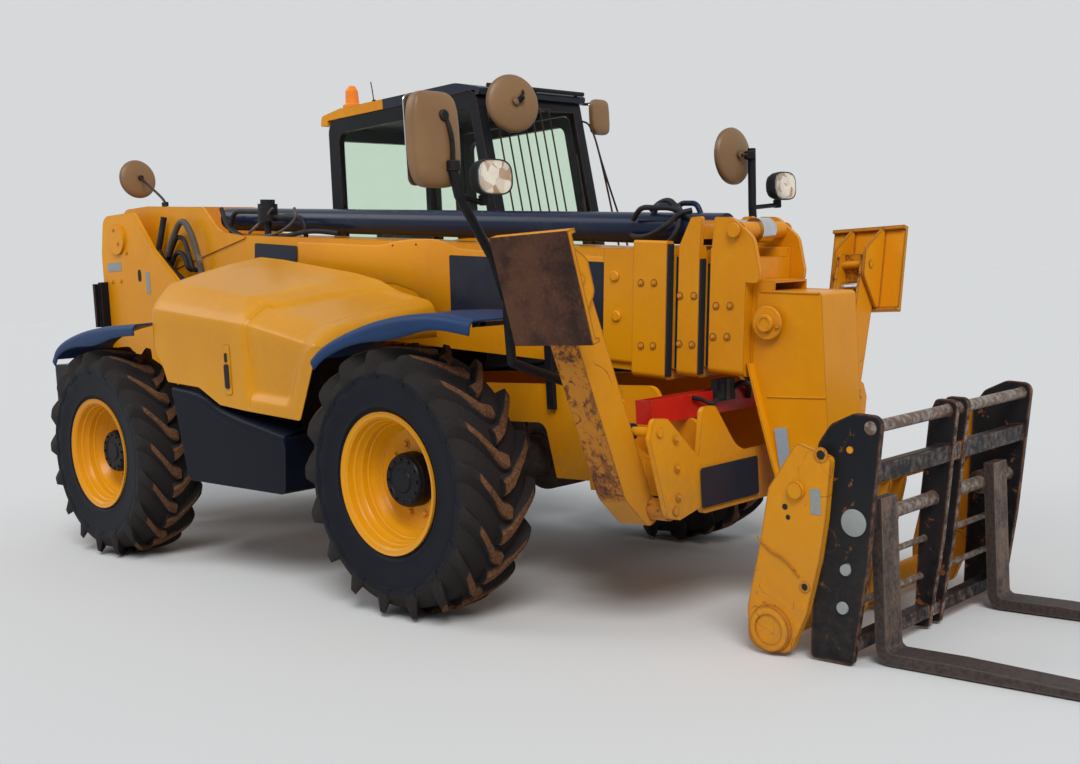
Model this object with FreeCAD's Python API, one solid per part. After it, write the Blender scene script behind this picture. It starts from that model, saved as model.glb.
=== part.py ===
import FreeCAD, Part
import math
import os

# Telehandler: a four section telescopic handler with forks, front stabilisers and four wheel steering.
# Millimetres. +X points forward, +Y to the left, +Z up, the ground is z = 0.
# Lengths along X are measured from the front axle; the writer moves every solid to the middle of
# the machine's length.

V = FreeCAD.Vector

# Driving dimensions: running gear
wheelbase = 2750.0
rearOverhang = 1350.0        # rear axle to the rear face of the chassis
frontReach = 3350.0          # front axle to the fork tips
tyreRadius = 635.0
tyreWidth = 390.0
wheelY = 1000.0              # middle plane of a tyre
beadRadius = 305.0
flangeRadius = 334.0
hubRadius = 130.0
dishPlane = -12.0            # disc of a rim, outward from the middle of the tyre
hubFace = 80.0               # outer face of the planet hub, outward from the middle of the tyre
spindleRadius = 45.0
kingpinY = 760.0
kingpinRadius = 24.0
axleTubeRadius = 105.0
diffRadius = 185.0

# Driving dimensions: chassis
railOuter = 345.0
railThickness = 30.0
railBottom = 560.0
railTop = 1020.0
bodySide = 1130.0            # outer faces of cab, bonnet and skirts
runFit = 0.06                # radial clearance of pins in bores
seatGap = 0.3                # gap between faces that slide on each other
swingGap = 6.0               # gap round panels that swing

# Driving dimensions: boom, drawn level with its pivot at the origin and then tilted
boomSlope = 5.0              # degrees, front end low
boomFront = 970.0            # front end of the outer section, measured along the boom from above the front axle
pivotSetIn = 250.0           # boom pivot, in front of the rear face of the chassis
pivotZ = 1990.0
pivotPinRadius = 45.0
ramRadius = 75.0
ramRodRadius = 45.0
ramCentre = 155.0            # height of the extension ram above the pivot line
noseWidth = 130.0            # half width of the drop head

# Driving dimensions: cab and attachments
cabInner = 250.0             # right hand wall of the cab, beside the boom
cabRear = -2150.0
cabFloor = 1034.0            # underside of the cab, on feet on the rails
roofTop = 2690.0
roofRim = 18.0               # the roof stands out this much over the door
cabWall = 45.0
glassThickness = 8.0
mudguardSheet = 10.0
mudguardSide = bodySide + 60.0
forkPivotX = 1745.0
forkPivotZ = 108.0
carrierHalf = 695.0
forkWidth = 125.0
forkThickness = 45.0
mirrorSpan = bodySide + 310.0   # half of the width over the mirrors

rearAxleX = -wheelbase
rearFace = rearAxleX - rearOverhang
pivotX = rearFace + pivotSetIn
boomLength = boomFront - pivotX
originShift = (wheelbase + rearOverhang - frontReach) / 2.0
axleZ = tyreRadius


def block(x0, x1, y0, y1, z0, z1):
    return Part.makeBox(x1 - x0, y1 - y0, z1 - z0, V(x0, y0, z0))


def rod(start, end, radius):
    axis = V(*end) - V(*start)
    return Part.makeCylinder(radius, axis.Length, V(*start), axis)


def joined(shapes):
    first, rest = shapes[0], shapes[1:]
    return first.fuse(rest).removeSplitter() if rest else first


def without(shape, tools):
    for tool in tools:
        shape = shape.cut(tool)
    return shape


def mirrored(shape):
    return shape.mirror(V(0, 0, 0), V(0, 1, 0))


def side(shape, sign):
    """The shape as drawn on the left for +1, its mirror image on the right for -1."""
    return shape if sign > 0 else mirrored(shape)


def corner(before, point, after, radius):
    """Tangent points and middle of the arc that rounds one corner of an outline."""
    a = V(before[0] - point[0], before[1] - point[1], 0)
    b = V(after[0] - point[0], after[1] - point[1], 0)
    a.normalize()
    b.normalize()
    half = math.acos(max(-1.0, min(1.0, a.dot(b)))) / 2.0
    reach = radius / math.tan(half)
    here = V(point[0], point[1], 0)
    bisector = a + b
    bisector.normalize()
    centre = here + bisector * (radius / math.sin(half))
    return here + a * reach, centre - bisector * radius, here + b * reach


def outline(points, place):
    """Closed wire through (across, up, radius) points; radius 0 or none leaves a sharp corner."""
    count = len(points)
    stops = []
    for i, point in enumerate(points):
        radius = point[2] if len(point) > 2 else 0
        if radius:
            stops.append(corner(points[i - 1], point, points[(i + 1) % count], radius))
        else:
            stops.append((V(point[0], point[1], 0),))
    edges = []
    for i, stop in enumerate(stops):
        if len(stop) == 3:
            edges.append(Part.Arc(place(stop[0]), place(stop[1]), place(stop[2])).toShape())
        start = place(stop[-1])
        end = place(stops[(i + 1) % count][0])
        if (end - start).Length > 0.001:
            edges.append(Part.LineSegment(start, end).toShape())
    return Part.Wire(edges)


def sidePlate(points, y0, y1):
    """Plate from an outline in X and Z, between two values of Y."""
    face = Part.Face(outline(points, lambda p: V(p.x, y0, p.y)))
    return face.extrude(V(0, y1 - y0, 0))


def crossPlate(points, x0, x1):
    """Plate from an outline in Y and Z, between two values of X."""
    face = Part.Face(outline(points, lambda p: V(x0, p.x, p.y)))
    return face.extrude(V(x1 - x0, 0, 0))


def floorPlate(points, z0, z1):
    """Plate from an outline in X and Y, between two values of Z."""
    face = Part.Face(outline(points, lambda p: V(p.x, p.y, z0)))
    return face.extrude(V(0, 0, z1 - z0))


def turned(profile, centre, axis):
    """Ring or disc turned about an axis through centre, from (along axis, radius) points."""
    points = [V(radius, 0, along) for along, radius in profile]
    points.append(points[0])
    solid = Part.Face(Part.makePolygon(points)).revolve(V(0, 0, 0), V(0, 0, 1), 360)
    solid.Placement = FreeCAD.Placement(V(*centre), FreeCAD.Rotation(V(0, 0, 1), V(*axis)))
    return solid


def pipe(points, radius):
    """Round tube or bar along straight runs, with a ball at each bend."""
    pieces = [rod(a, b, radius) for a, b in zip(points, points[1:])]
    pieces += [Part.makeSphere(radius, V(*p)) for p in points[1:-1]]
    return joined(pieces)


def onBoom(shape):
    """Puts a shape drawn on the level boom line onto the sloping boom."""
    shape = shape.copy()
    shape.rotate(V(0, 0, 0), V(0, 1, 0), boomSlope)
    shape.translate(V(pivotX, 0, pivotZ))
    return shape


def boomPoint(along, above):
    """X and Z of a point on the boom, from its distances along and above the pivot line."""
    slope = math.radians(boomSlope)
    return (pivotX + along * math.cos(slope) + above * math.sin(slope),
            pivotZ - along * math.sin(slope) + above * math.cos(slope))


def save(name, solids):
    shape = Part.makeCompound(solids) if isinstance(solids, list) else solids
    shape.translate(V(originShift, 0, 0))
    shape.exportStep("parts/%s.step" % name)
    for solid in shape.Solids:
        if not solid.isValid():
            print("invalid solid in", name)
    print(name, len(shape.Solids), "solids, volume %.4f m3" % (shape.Volume / 1e9))


# Wheels, knuckles and axles

def tyre(x, y):
    half = tyreWidth / 2.0
    bead = half - 30.0
    profile = [(-bead, beadRadius), (bead, beadRadius), (bead, flangeRadius + 12.0),
               (half - 4.0, 410.0), (half, 490.0), (half - 8.0, 575.0), (half - 38.0, tyreRadius - 12.0),
               (half - 95.0, tyreRadius), (95.0 - half, tyreRadius), (38.0 - half, tyreRadius - 12.0),
               (8.0 - half, 575.0), (-half, 490.0), (4.0 - half, 410.0), (-bead, flangeRadius + 12.0)]
    return turned(profile, (x, y, axleZ), (0, 1, 0))


def rim(x, sign):
    """Dished rim and planet hub, bored for the spindle of its knuckle."""
    bead = tyreWidth / 2.0 - 30.0
    inner = -(bead + 12.0)
    outer = bead + 12.0
    disc, face, back = dishPlane, hubFace, hubFace - 168.0
    profile = [(inner, flangeRadius), (inner, 292.0), (-60.0, 292.0), (-40.0, 268.0), (disc - 16.0, 268.0),
               (disc - 16.0, hubRadius), (back, hubRadius), (back, spindleRadius + runFit),
               (face - 40.0, spindleRadius + runFit), (face - 40.0, 0.0), (face, 0.0), (face, hubRadius - 12.0),
               (face - 12.0, hubRadius), (disc, hubRadius), (disc + 6.0, 240.0), (disc + 40.0, 262.0),
               (110.0, 280.0), (outer, 300.0), (outer, flangeRadius), (bead, flangeRadius), (bead, beadRadius),
               (-bead, beadRadius), (-bead, flangeRadius)]
    return side(turned(profile, (x, wheelY, axleZ), (0, 1, 0)), sign)


propFoot = 880.0             # height of the seat of the red strut on the rails
earInner = 132.0             # inner face of an axle yoke ear, above and below the axle line
earThickness = 32.0


def knuckle(x, sign):
    """Steering knuckle: a housing on two kingpins, with the spindle that carries the hub."""
    top = earInner - swingGap
    body = sidePlate([(x - 78, axleZ - top, 30), (x + 78, axleZ - top, 30),
                      (x + 78, axleZ + top, 30), (x - 78, axleZ + top, 30)], kingpinY - 62, kingpinY + 70)
    hubBack = wheelY + hubFace - 174.0
    flange = rod((x, kingpinY + 70, axleZ), (x, hubBack, axleZ), 88.0)
    spindle = rod((x, hubBack, axleZ), (x, wheelY + hubFace - 46, axleZ), spindleRadius)
    reach = earInner + earThickness + 10.0
    pin = rod((x, kingpinY, axleZ - reach), (x, kingpinY, axleZ + reach), kingpinRadius)
    back = -1.0 if x > rearAxleX / 2.0 else 1.0
    arm = block(min(x, x + back * 190), max(x, x + back * 190), kingpinY - 60, kingpinY - 10,
                axleZ - 20, axleZ + 14)
    return side(joined([body, flange, spindle, pin, arm]), sign)


def axle(x):
    """Axle beam with its differential, drive flange and a yoke at each end."""
    beam = rod((x, -kingpinY + 150, axleZ), (x, kingpinY - 150, axleZ), axleTubeRadius)
    diff = turned([(-170.0, 0), (-170.0, 120.0), (-120.0, diffRadius), (120.0, diffRadius),
                   (170.0, 120.0), (170.0, 0)], (x, 0, axleZ), (0, 1, 0))
    inward = 1.0 if x < rearAxleX / 2.0 else -1.0
    drive = rod((x, 0, axleZ), (x + inward * 270, 0, axleZ), 62.0)
    pads = [block(x - 90, x + 90, railOuter - railThickness, railOuter, axleZ + 60, axleZ + 195)]
    pads.append(mirrored(pads[0]))
    yokes = []
    for sign in (1, -1):
        web = block(x - 85, x + 85, kingpinY - 160, kingpinY - 120,
                    axleZ - earInner - earThickness, axleZ + earInner + earThickness)
        ears = []
        for low in (axleZ + earInner, axleZ - earInner - earThickness):
            ears.append(floorPlate([(x - 85, kingpinY - 160), (x + 85, kingpinY - 160),
                                    (x + 60, kingpinY + 60, 50), (x - 60, kingpinY + 60, 50)],
                                   low, low + earThickness))
        yoke = joined([web] + ears)
        hole = rod((x, kingpinY, 0), (x, kingpinY, 2 * axleZ), kingpinRadius + runFit)
        yokes.append(side(yoke.cut(hole), sign))
    return joined([beam, diff, drive] + pads + yokes)


# Chassis

liftBaseX = pivotX + 450.0
liftBaseZ = 1050.0
liftEyeAlong = 2680.0        # lift ram eye on the boom, along the pivot line
liftEyeBelow = 626.0
liftPinRadius = 34.0
liftEyeHalf = 58.0           # half width of an eye of the lift ram
axleNotchHalf = 235.0
axleNotchTop = 830.0


def chassisFrame():
    """Two deep rails that rise into the boom tower, tied by floor plates and cross members."""
    notchFront = [(axleNotchHalf + 60, railBottom), (axleNotchHalf, axleNotchTop, 60),
                  (-axleNotchHalf, axleNotchTop, 60), (-axleNotchHalf - 60, railBottom)]
    notchRear = [(x + rearAxleX, z, r) for x, z, r in
                 [(axleNotchHalf + 60, railBottom, 0), (axleNotchHalf, axleNotchTop, 60),
                  (-axleNotchHalf, axleNotchTop, 60), (-axleNotchHalf - 60, railBottom, 0)]]
    rail = [(rearFace, railBottom, 0), (rearFace, 1900, 300), (rearFace + 60, 2165, 90),
            (pivotX + 230, 2165, 70), (pivotX + 470, 1890, 160), (pivotX + 790, 1640, 200),
            (pivotX + 1100, railTop, 200),
            (930, railTop, 60), (1000, propFoot, 40), (1140, propFoot, 60), (1290, 700, 60),
            (1290, railBottom, 0)] + notchFront + notchRear
    plate = sidePlate(rail, railOuter - railThickness, railOuter)
    boss = rod((pivotX, railOuter, pivotZ), (pivotX, railOuter + 18, pivotZ), 105.0)
    rearPost = block(rearFace, rearFace + 25, railOuter - railThickness - 120, railOuter - railThickness,
                     railBottom, 1360)
    sides = [plate, boss, rearPost]
    sides += [mirrored(s) for s in sides]
    inner = railOuter - railThickness
    hinges = []
    for x in bonnetHinges:
        hinges += [block(x - 20, x + 20, -railOuter, -railOuter + 25, railTop - 20, hingeZ),
                   rod((x - 20, -hingeY, hingeZ), (x + 20, -hingeY, hingeZ), hingeBarrel),
                   rod((x - 70, -hingeY, hingeZ), (x + 70, -hingeY, hingeZ), hingePin)]
    tub = [block(rearFace, rearFace + 25, -inner, inner, railBottom, 1180),
           block(rearFace + 20, rearAxleX - 300, -inner, inner, railBottom, railBottom + 20),
           block(rearAxleX + 300, -300, -inner, inner, railBottom, railBottom + 20),
           block(300, 1290, -inner, inner, railBottom, railBottom + 20),
           block(rearAxleX - 320, rearAxleX - 295, -inner, inner, railBottom, axleNotchTop + 20),
           block(rearAxleX + 280, rearAxleX + 310, -inner, inner, railBottom, axleNotchTop + 20),
           block(-320, -295, -inner, inner, railBottom, axleNotchTop + 20),
           block(295, 320, -inner, inner, railBottom, axleNotchTop + 20)]
    pin = rod((pivotX, -railOuter - 10, pivotZ), (pivotX, railOuter + 10, pivotZ), pivotPinRadius)
    liftPin = rod((liftBaseX, -inner, liftBaseZ), (liftBaseX, inner, liftBaseZ), liftPinRadius)
    frame = joined(sides + tub + hinges + [pin, liftPin])
    return frame.cut(rod((rearFace + towSetIn, 0, railBottom - 10),
                         (rearFace + towSetIn, 0, railBottom + 30), 34.0))


towPinRadius = 16.0
towSetIn = 60.0              # tow pin hole, measured in from the rear face
towJawLow = 430.0            # underside of the tow jaw
towJawPlate = 35.0
towJawDeep = 120.0
towJawHalf = 70.0            # half width of the tow jaw


def rearWeight():
    """Weights on both sides of the tail and, between them, a low beam with the plates of the tow jaw."""
    wing = floorPlate([(rearFace, railOuter, 0), (rearFace + 430, railOuter, 0), (rearFace + 430, 640, 60),
                       (rearFace + 330, 790, 60), (rearFace, 790, 80)], 640, 1140)
    low = block(rearFace, rearFace + 240, railOuter, 640, towJawLow + 60, 640)
    wing = joined([wing, low])
    beam = block(rearFace + towJawDeep, rearFace + 240, -railOuter, railOuter, towJawLow, railBottom)
    cheek = block(rearFace, rearFace + towJawDeep, towJawHalf, railOuter, towJawLow, railBottom)
    hole = rod((rearFace + towSetIn, 0, towJawLow - 10), (rearFace + towSetIn, 0, railBottom + 10),
               towPinRadius)
    plates = [block(rearFace, rearFace + towJawDeep, -towJawHalf, towJawHalf, z, z + towJawPlate).cut(hole)
              for z in (towJawLow, railBottom - towJawPlate)]
    return [wing, mirrored(wing), beam, cheek, mirrored(cheek)] + plates


def frontFrame():
    """Front cross frame: side boxes, cradle plate under the boom and ears for the stabilisers."""
    box = crossPlate([(railOuter, railBottom), (540, railBottom), (560, 760, 40), (railOuter, 960)], 690, 760)
    shelf = block(690, 1290, railOuter, 540, railBottom, railBottom + 24)
    top = crossPlate([(railOuter, 700), (540, 700), (540, 724), (railOuter, 724)], 760, 1290)
    outer = block(690, 1290, 516, 540, railBottom, 724)
    sides = [box, shelf, top, outer]
    for x in (earRear, earFront):
        sides.append(crossPlate([(500, 540, 0), (690, 500, 0), (770, 520, 40), (860, 860, 30), (830, 940, 30),
                                 (740, 930, 30), (560, 760, 60), (500, 724, 0)], x, x + earPlate))
    sides = joined(sides).cut(rod((900, stabPivotY, stabPivotZ), (1400, stabPivotY, stabPivotZ),
                                  stabPinRadius + runFit))
    sides = joined([sides, rod((earRear - 8, stabRamY, stabRamZ),
                               (earFront + earPlate + 8, stabRamY, stabRamZ),
                               stabPinRadius)])
    cradle = crossPlate([(-540, 500, 30), (540, 500, 30), (540, 760, 0), (500, 950, 30), (410, 950, 30),
                         (250, 730, 160), (-250, 730, 160), (-410, 950, 30), (-500, 950, 30), (-540, 760, 0)],
                        1290, 1315)
    return joined([sides, mirrored(sides), cradle])


# Stabilisers

stabPivotY = 720.0
stabPivotZ = 545.0
stabRamY = 800.0
stabRamZ = 880.0
stabPinRadius = 20.0
earRear = 1000.0             # rear ear plate of a stabiliser bracket
earFront = 1290.0
earPlate = 25.0
legRear = 1050.0
legFront = 1200.0
legOuter = 145.0             # outer face of the leg, outward from its pivot
legInner = -10.0
legWall = 14.0
legLean = 20.0               # degrees from upright when folded
padAlong = 1050.0            # pad pin, along the leg and outward from its pivot
padAcross = 40.0
padLean = 14.6
padStand = 120.0             # pad plate, outward from its pin
padPlate = 22.0


def legPoint(along, across):
    """Y and Z of a point on the folded left leg, along it from the pivot and outward across it."""
    lean = math.radians(legLean)
    return (stabPivotY + along * math.sin(lean) + across * math.cos(lean),
            stabPivotZ + along * math.cos(lean) - across * math.sin(lean))


def stabiliserLeg(sign):
    """Leg of channel section, open to the inside, with its pivot pin and the bore of the pad pin."""
    run = [legPoint(-58, legInner) + (30,), legPoint(-58, 60) + (45,), legPoint(120, legOuter) + (120,),
           legPoint(860, legOuter) + (60,), legPoint(padAlong + 58, padAcross + 30) + (30,),
           legPoint(padAlong + 58, padAcross - 50) + (30,)]
    leg = crossPlate(run, legRear, legFront)
    channel = crossPlate([legPoint(110, legInner - 30), legPoint(110, legOuter - legWall - 14),
                          legPoint(160, legOuter - legWall), legPoint(850, legOuter - legWall),
                          legPoint(padAlong + 80, padAcross - 10), legPoint(padAlong + 80, legInner - 30)],
                         legRear + legWall, legFront - legWall)
    pivot = rod((earRear + earPlate + seatGap, stabPivotY, stabPivotZ),
                (earFront - seatGap, stabPivotY, stabPivotZ),
                46.0)
    pin = rod((earRear - 8, stabPivotY, stabPivotZ), (earFront + earPlate + 8, stabPivotY, stabPivotZ),
              stabPinRadius)
    leg = joined([leg.cut(channel), pivot, pin])
    padY, padZ = legPoint(padAlong, padAcross)
    bore = rod((legRear - 5, padY, padZ), (legFront + 5, padY, padZ), stabPinRadius + runFit)
    return side(leg.cut(bore), sign)


def stabiliserPad(sign):
    """Ground pad on its swivel pin, folded beside the outer face of the leg."""
    half = (legFront - legRear) / 2.0
    plate = block(-210, 210, padStand, padStand + padPlate, -225, 225)
    lips = [block(-210, 210, padStand - 22, padStand, z, z + 18) for z in (-225, 207)]
    cheek = crossPlate([(-62, -70, 50), (-62, 70, 50), (padStand - 30, 212, 20), (padStand + 5, 212, 0),
                        (padStand + 5, -212, 0), (padStand - 30, -212, 20)], half + 6, half + 20)
    ears = [cheek, cheek.mirror(V(0, 0, 0), V(1, 0, 0))]
    pin = rod((-half - 24, 0, 0), (half + 24, 0, 0), stabPinRadius)
    pad = joined([plate, pin] + lips + ears)
    pad.rotate(V(0, 0, 0), V(1, 0, 0), -padLean)
    padY, padZ = legPoint(padAlong, padAcross)
    pad.translate(V((legRear + legFront) / 2.0, padY, padZ))
    return side(pad, sign)


stabEyeAlong = 930.0         # eye of the stabiliser ram on the leg
stabEyeAcross = 60.0


def stabiliserRam(sign):
    """Barrel and rod between the bracket's upper pin and the leg."""
    middle = (legRear + legFront) / 2.0
    eyeY, eyeZ = legPoint(stabEyeAlong, stabEyeAcross)
    base = V(middle, stabRamY, stabRamZ)
    eye = V(middle, eyeY, eyeZ)
    return base, eye


# Boom

sections = [
    # half width, lowest and highest face, top of the collar's side strips, rear and front end, collar length, wall
    dict(name="outer_boom", half=210.0, low=-510.0, high=58.0, strip=102.0, rear=-150.0, front=boomLength,
         collar=195.0, wall=12.0),
    dict(name="boom_2", half=185.0, low=-485.0, high=33.0, strip=86.0, rear=250.0, front=boomLength + 165.0,
         collar=115.0, wall=10.0),
    dict(name="boom_3", half=162.0, low=-462.0, high=11.0, strip=79.0, rear=330.0, front=boomLength + 400.0,
         collar=190.0, wall=10.0),
    dict(name="boom_4", half=noseWidth, low=-440.0, high=-60.0, strip=0.0, rear=410.0,
         front=boomLength + 510.0,
         collar=0.0, wall=10.0),
]
ramRear = 900.0
ramGland = boomLength + 160.0            # front end of the extension ram's barrel
ramPinAlong = boomLength + 340.0
ramPinRadius = 26.0
ramEyeHalf = 50.0


def tube(section, rear, front):
    """Rectangular tube of one boom section."""
    half, low, high, wall = section["half"], section["low"], section["high"], section["wall"]
    outer = block(rear, front, -half, half, low, high)
    return outer.cut(block(rear - 1, front + 1, -half + wall, half - wall, low + wall, high - wall))


def collar(section, inner):
    """Wear pad housing at the front of one section: a ring with a side strip that stands up at each side."""
    half, low, strip = section["half"] + 26.0, section["low"] - 26.0, section["strip"]
    rear, front = section["front"] - section["collar"], section["front"]
    middle = min(section["high"] + 26.0, ramCentre - ramRadius - swingGap)
    ring = crossPlate([(-half, low, 30), (half, low, 30), (half, strip, 12), (half - 45, strip, 12),
                       (half - 60, middle, 0), (60 - half, middle, 0), (45 - half, strip, 12),
                       (-half, strip, 12)], rear, front)
    gap = seatGap
    hole = block(rear - 1, front + 1, -inner["half"] - gap, inner["half"] + gap,
                 inner["low"] - gap, inner["high"] + gap)
    return ring.cut(hole)


def wearPads(section, outside, rear):
    """Pads on the rear end of a section, running on the inside of the section round it."""
    half, low, high = section["half"], section["low"], section["high"]
    reachZ = outside["high"] - outside["wall"] - seatGap
    floorZ = outside["low"] + outside["wall"] + seatGap
    pads = [block(rear, rear + 160, -half + 30, half - 30, high, reachZ),
            block(rear, rear + 160, -half + 30, half - 30, floorZ, low)]
    return pads


def outerBoom():
    section, inner = sections[0], sections[1]
    half, low, high = section["half"], section["low"], section["high"]
    body = tube(section, section["rear"] + 60, section["front"] - 10)
    head = collar(section, inner)
    stiffener = crossPlate([(-half - 20, low + 30, 20), (half + 20, low + 30, 20), (half + 20, high + 3, 0),
                            (-half - 20, high + 3, 0)], section["front"] - 380, section["front"] - section["collar"])
    stiffener = stiffener.cut(block(0, 6000, -half + 12, half - 12, low + 12, high - 12))
    cheek = sidePlate([(-190, -100, 120), (-160, 205, 120), (200, 235, 200), (900, 235, 70), (1090, 78, 200),
                       (1400, 52, 0), (1400, 40, 0), (500, -200, 0), (500, -470, 60), (-90, -505, 60)],
                      half - 16, half + 10)
    bossHalf = railOuter - railThickness - swingGap
    boss = rod((0, -bossHalf, 0), (0, bossHalf, 0), 92.0)
    eyeAlong, eyeLow = liftEyeAlong, -liftEyeBelow
    lug = sidePlate([(eyeAlong - 190, low + 5, 0), (eyeAlong - 62, eyeLow - 20, 60),
                     (eyeAlong + 62, eyeLow - 20, 60),
                     (eyeAlong + 190, low + 5, 0)], liftEyeHalf + swingGap, liftEyeHalf + swingGap + 28)
    cap = rod((eyeAlong, liftEyeHalf + swingGap + 28, eyeLow),
              (eyeAlong, liftEyeHalf + swingGap + 40, eyeLow), 40.0)
    shapes = [body, head, stiffener, cheek, mirrored(cheek), boss, lug, mirrored(lug), cap, mirrored(cap)]
    rearWall = block(-60, -40, -half + 5, half - 5, low + 30, high - 30)
    boom = joined(shapes + [rearWall])
    bore = rod((0, -half - 200, 0), (0, half + 200, 0), pivotPinRadius + runFit)
    return boom.cut(bore)


def boomTwo():
    section, inner, outside = sections[1], sections[2], sections[0]
    front, rear, high = section["front"], section["front"] - section["collar"], section["high"]
    body = tube(section, section["rear"], front - 10)
    edge = section["half"] + 26.0
    ear = sidePlate([(rear, high - 5, 0), (rear + 4, section["strip"], 0), (front - 50, ramCentre + 56, 20),
                     (front + 8, ramCentre + 60, 12), (front, high - 5, 0)], edge - 24, edge)
    saddle = block(rear + 52, front - 4, -edge + 20, edge - 20, ramCentre - 42, ramCentre + 42)
    saddle = saddle.cut(rod((0, 0, ramCentre), (6000, 0, ramCentre), ramRadius))
    shapes = [body, collar(section, inner), ear, mirrored(ear), saddle] + wearPads(section, outside, section["rear"])
    return joined(shapes)


def boomThree():
    section, inner, outside = sections[2], sections[3], sections[1]
    front, rear, high = section["front"], section["front"] - section["collar"], section["high"]
    body = tube(section, section["rear"], front - 10)
    edge = section["half"] + 26.0
    ear = sidePlate([(rear, high - 5, 0), (rear + 16, ramCentre + 58, 12), (rear + 105, ramCentre + 58, 60),
                     (front + 34, ramCentre - 30, 80), (front + 70, -20, 40), (front + 66, -70, 20),
                     (front - 30, -70, 0)], edge - 24, edge)
    spacer = rod((ramPinAlong, ramEyeHalf + seatGap, ramCentre), (ramPinAlong, edge - 20, ramCentre), 38.0)
    pin = rod((ramPinAlong, -edge - 12, ramCentre), (ramPinAlong, edge + 12, ramCentre), ramPinRadius)
    shapes = [body, collar(section, inner), ear, mirrored(ear), spacer, mirrored(spacer), pin]
    return joined(shapes + wearPads(section, outside, section["rear"]))


def boomNose():
    """Inner section and the drop head that carries the tool carrier's pivot."""
    section, outside = sections[3], sections[2]
    body = onBoom(joined([tube(section, section["rear"], section["front"])]
                         + wearPads(section, outside, section["rear"])))
    half = section["half"]
    line = [(1372, 1428, 15), (1690, 1405, 15), (1695, 640, 60), (forkPivotX + 95, 150, 80),
            (forkPivotX + 60, forkPivotZ - 90, 60), (forkPivotX - 60, forkPivotZ - 90, 60),
            (1600, 190, 60), (1440, 640, 100), (1326, 1110, 30)]
    head = sidePlate(line, -half - 8, half + 8)
    hollow = sidePlate([(1392, 1405), (1678, 1385), (1680, 640), (1770, 240), (1760, 10), (1640, 10),
                        (1465, 640),
                        (1350, 1120)], -half + 8, half - 8)
    foot = rod((forkPivotX, -half - 8, forkPivotZ), (forkPivotX, half + 8, forkPivotZ), footRadius)
    channel = block(1560, forkPivotX + 400, -footGap, footGap, -50, 850)
    head = joined([head.cut(hollow), foot]).cut(channel)
    boss = rod((tiltBaseX, half + 8, tiltBaseZ), (tiltBaseX, half + 30, tiltBaseZ), 48.0)
    spacer = rod((tiltBaseX, tiltEyeHalf + seatGap, tiltBaseZ), (tiltBaseX, half - 4, tiltBaseZ), 40.0)
    pin = rod((tiltBaseX, -half - 36, tiltBaseZ), (tiltBaseX, half + 36, tiltBaseZ), tiltPinRadius)
    shell = joined([body, head])
    shell = shell.cut(block(1290, 1669, -half + 10.5, half - 10.5, 1150, 1384))
    head = joined([shell, boss, mirrored(boss), spacer, mirrored(spacer), pin])
    bore = rod((forkPivotX, -half - 50, forkPivotZ), (forkPivotX, half + 50, forkPivotZ),
               torqueTubeRadius + runFit)
    return head.cut(bore)


# Rams

liftRam = dict(barrel=92.0, rod=55.0, eye=66.0, gland=1930.0, boreStart=100.0, rodStart=140.0)
tiltRam = dict(barrel=42.0, rod=26.0, eye=40.0, gland=930.0, boreStart=60.0, rodStart=110.0)
stabRam = dict(barrel=38.0, rod=23.0, eye=34.0, gland=535.0, boreStart=38.0, rodStart=46.0)
stabEyeHalf = 55.0


def ramPair(base, eye, ram, eyeHalf, pinRadius):
    """Barrel with a bored base eye, and rod with an eye that stands free between the ears of its lug.

    The columns gland, boreStart and rodStart of the table are distances from the base pin: to the
    barrel's open end, to the bottom of its bore and to the rod's inner end.
    """
    eyeRadius, gland = ram["eye"], ram["gland"]
    along = (eye - base)
    length = along.Length
    along.normalize()
    across = V(0, 1, 0) if abs(along.y) < 0.001 else V(1, 0, 0)
    eyeShell = Part.makeCylinder(eyeRadius, 2 * eyeHalf, base - across * eyeHalf, across)
    neck = eyeRadius * 0.6
    body = Part.makeCylinder(ram["barrel"], gland - neck, base + along * neck, along)
    bore = Part.makeCylinder(ram["rod"] + runFit, gland - ram["boreStart"] + 1,
                             base + along * ram["boreStart"], along)
    pinBore = Part.makeCylinder(pinRadius + runFit, 4 * eyeHalf, base - across * 2 * eyeHalf, across)
    barrel = eyeShell.fuse(body).cut(bore).cut(pinBore)
    shaft = Part.makeCylinder(ram["rod"], length - ram["rodStart"], base + along * ram["rodStart"], along)
    head = Part.makeCylinder(eyeRadius, 2 * eyeHalf, eye - across * eyeHalf, across)
    return barrel, shaft.fuse(head).removeSplitter()


tiltBaseX = 1430.0
tiltBaseZ = 1285.0
tiltEyeX = forkPivotX + 60.0
tiltEyeZ = forkPivotZ + 170.0
tiltPinRadius = 24.0
tiltEyeHalf = 48.0
torqueTubeRadius = 58.0
footRadius = 92.0
filterAlong = 1560.0         # oil filter on top of the boom
footGap = 98.0               # half of the gap between the two cheeks of the drop head's foot


# Tool carrier and forks

shaftX = 2120.0
shaftZ = 555.0
shaftRadius = 28.0
uprightY = 48.0


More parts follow.
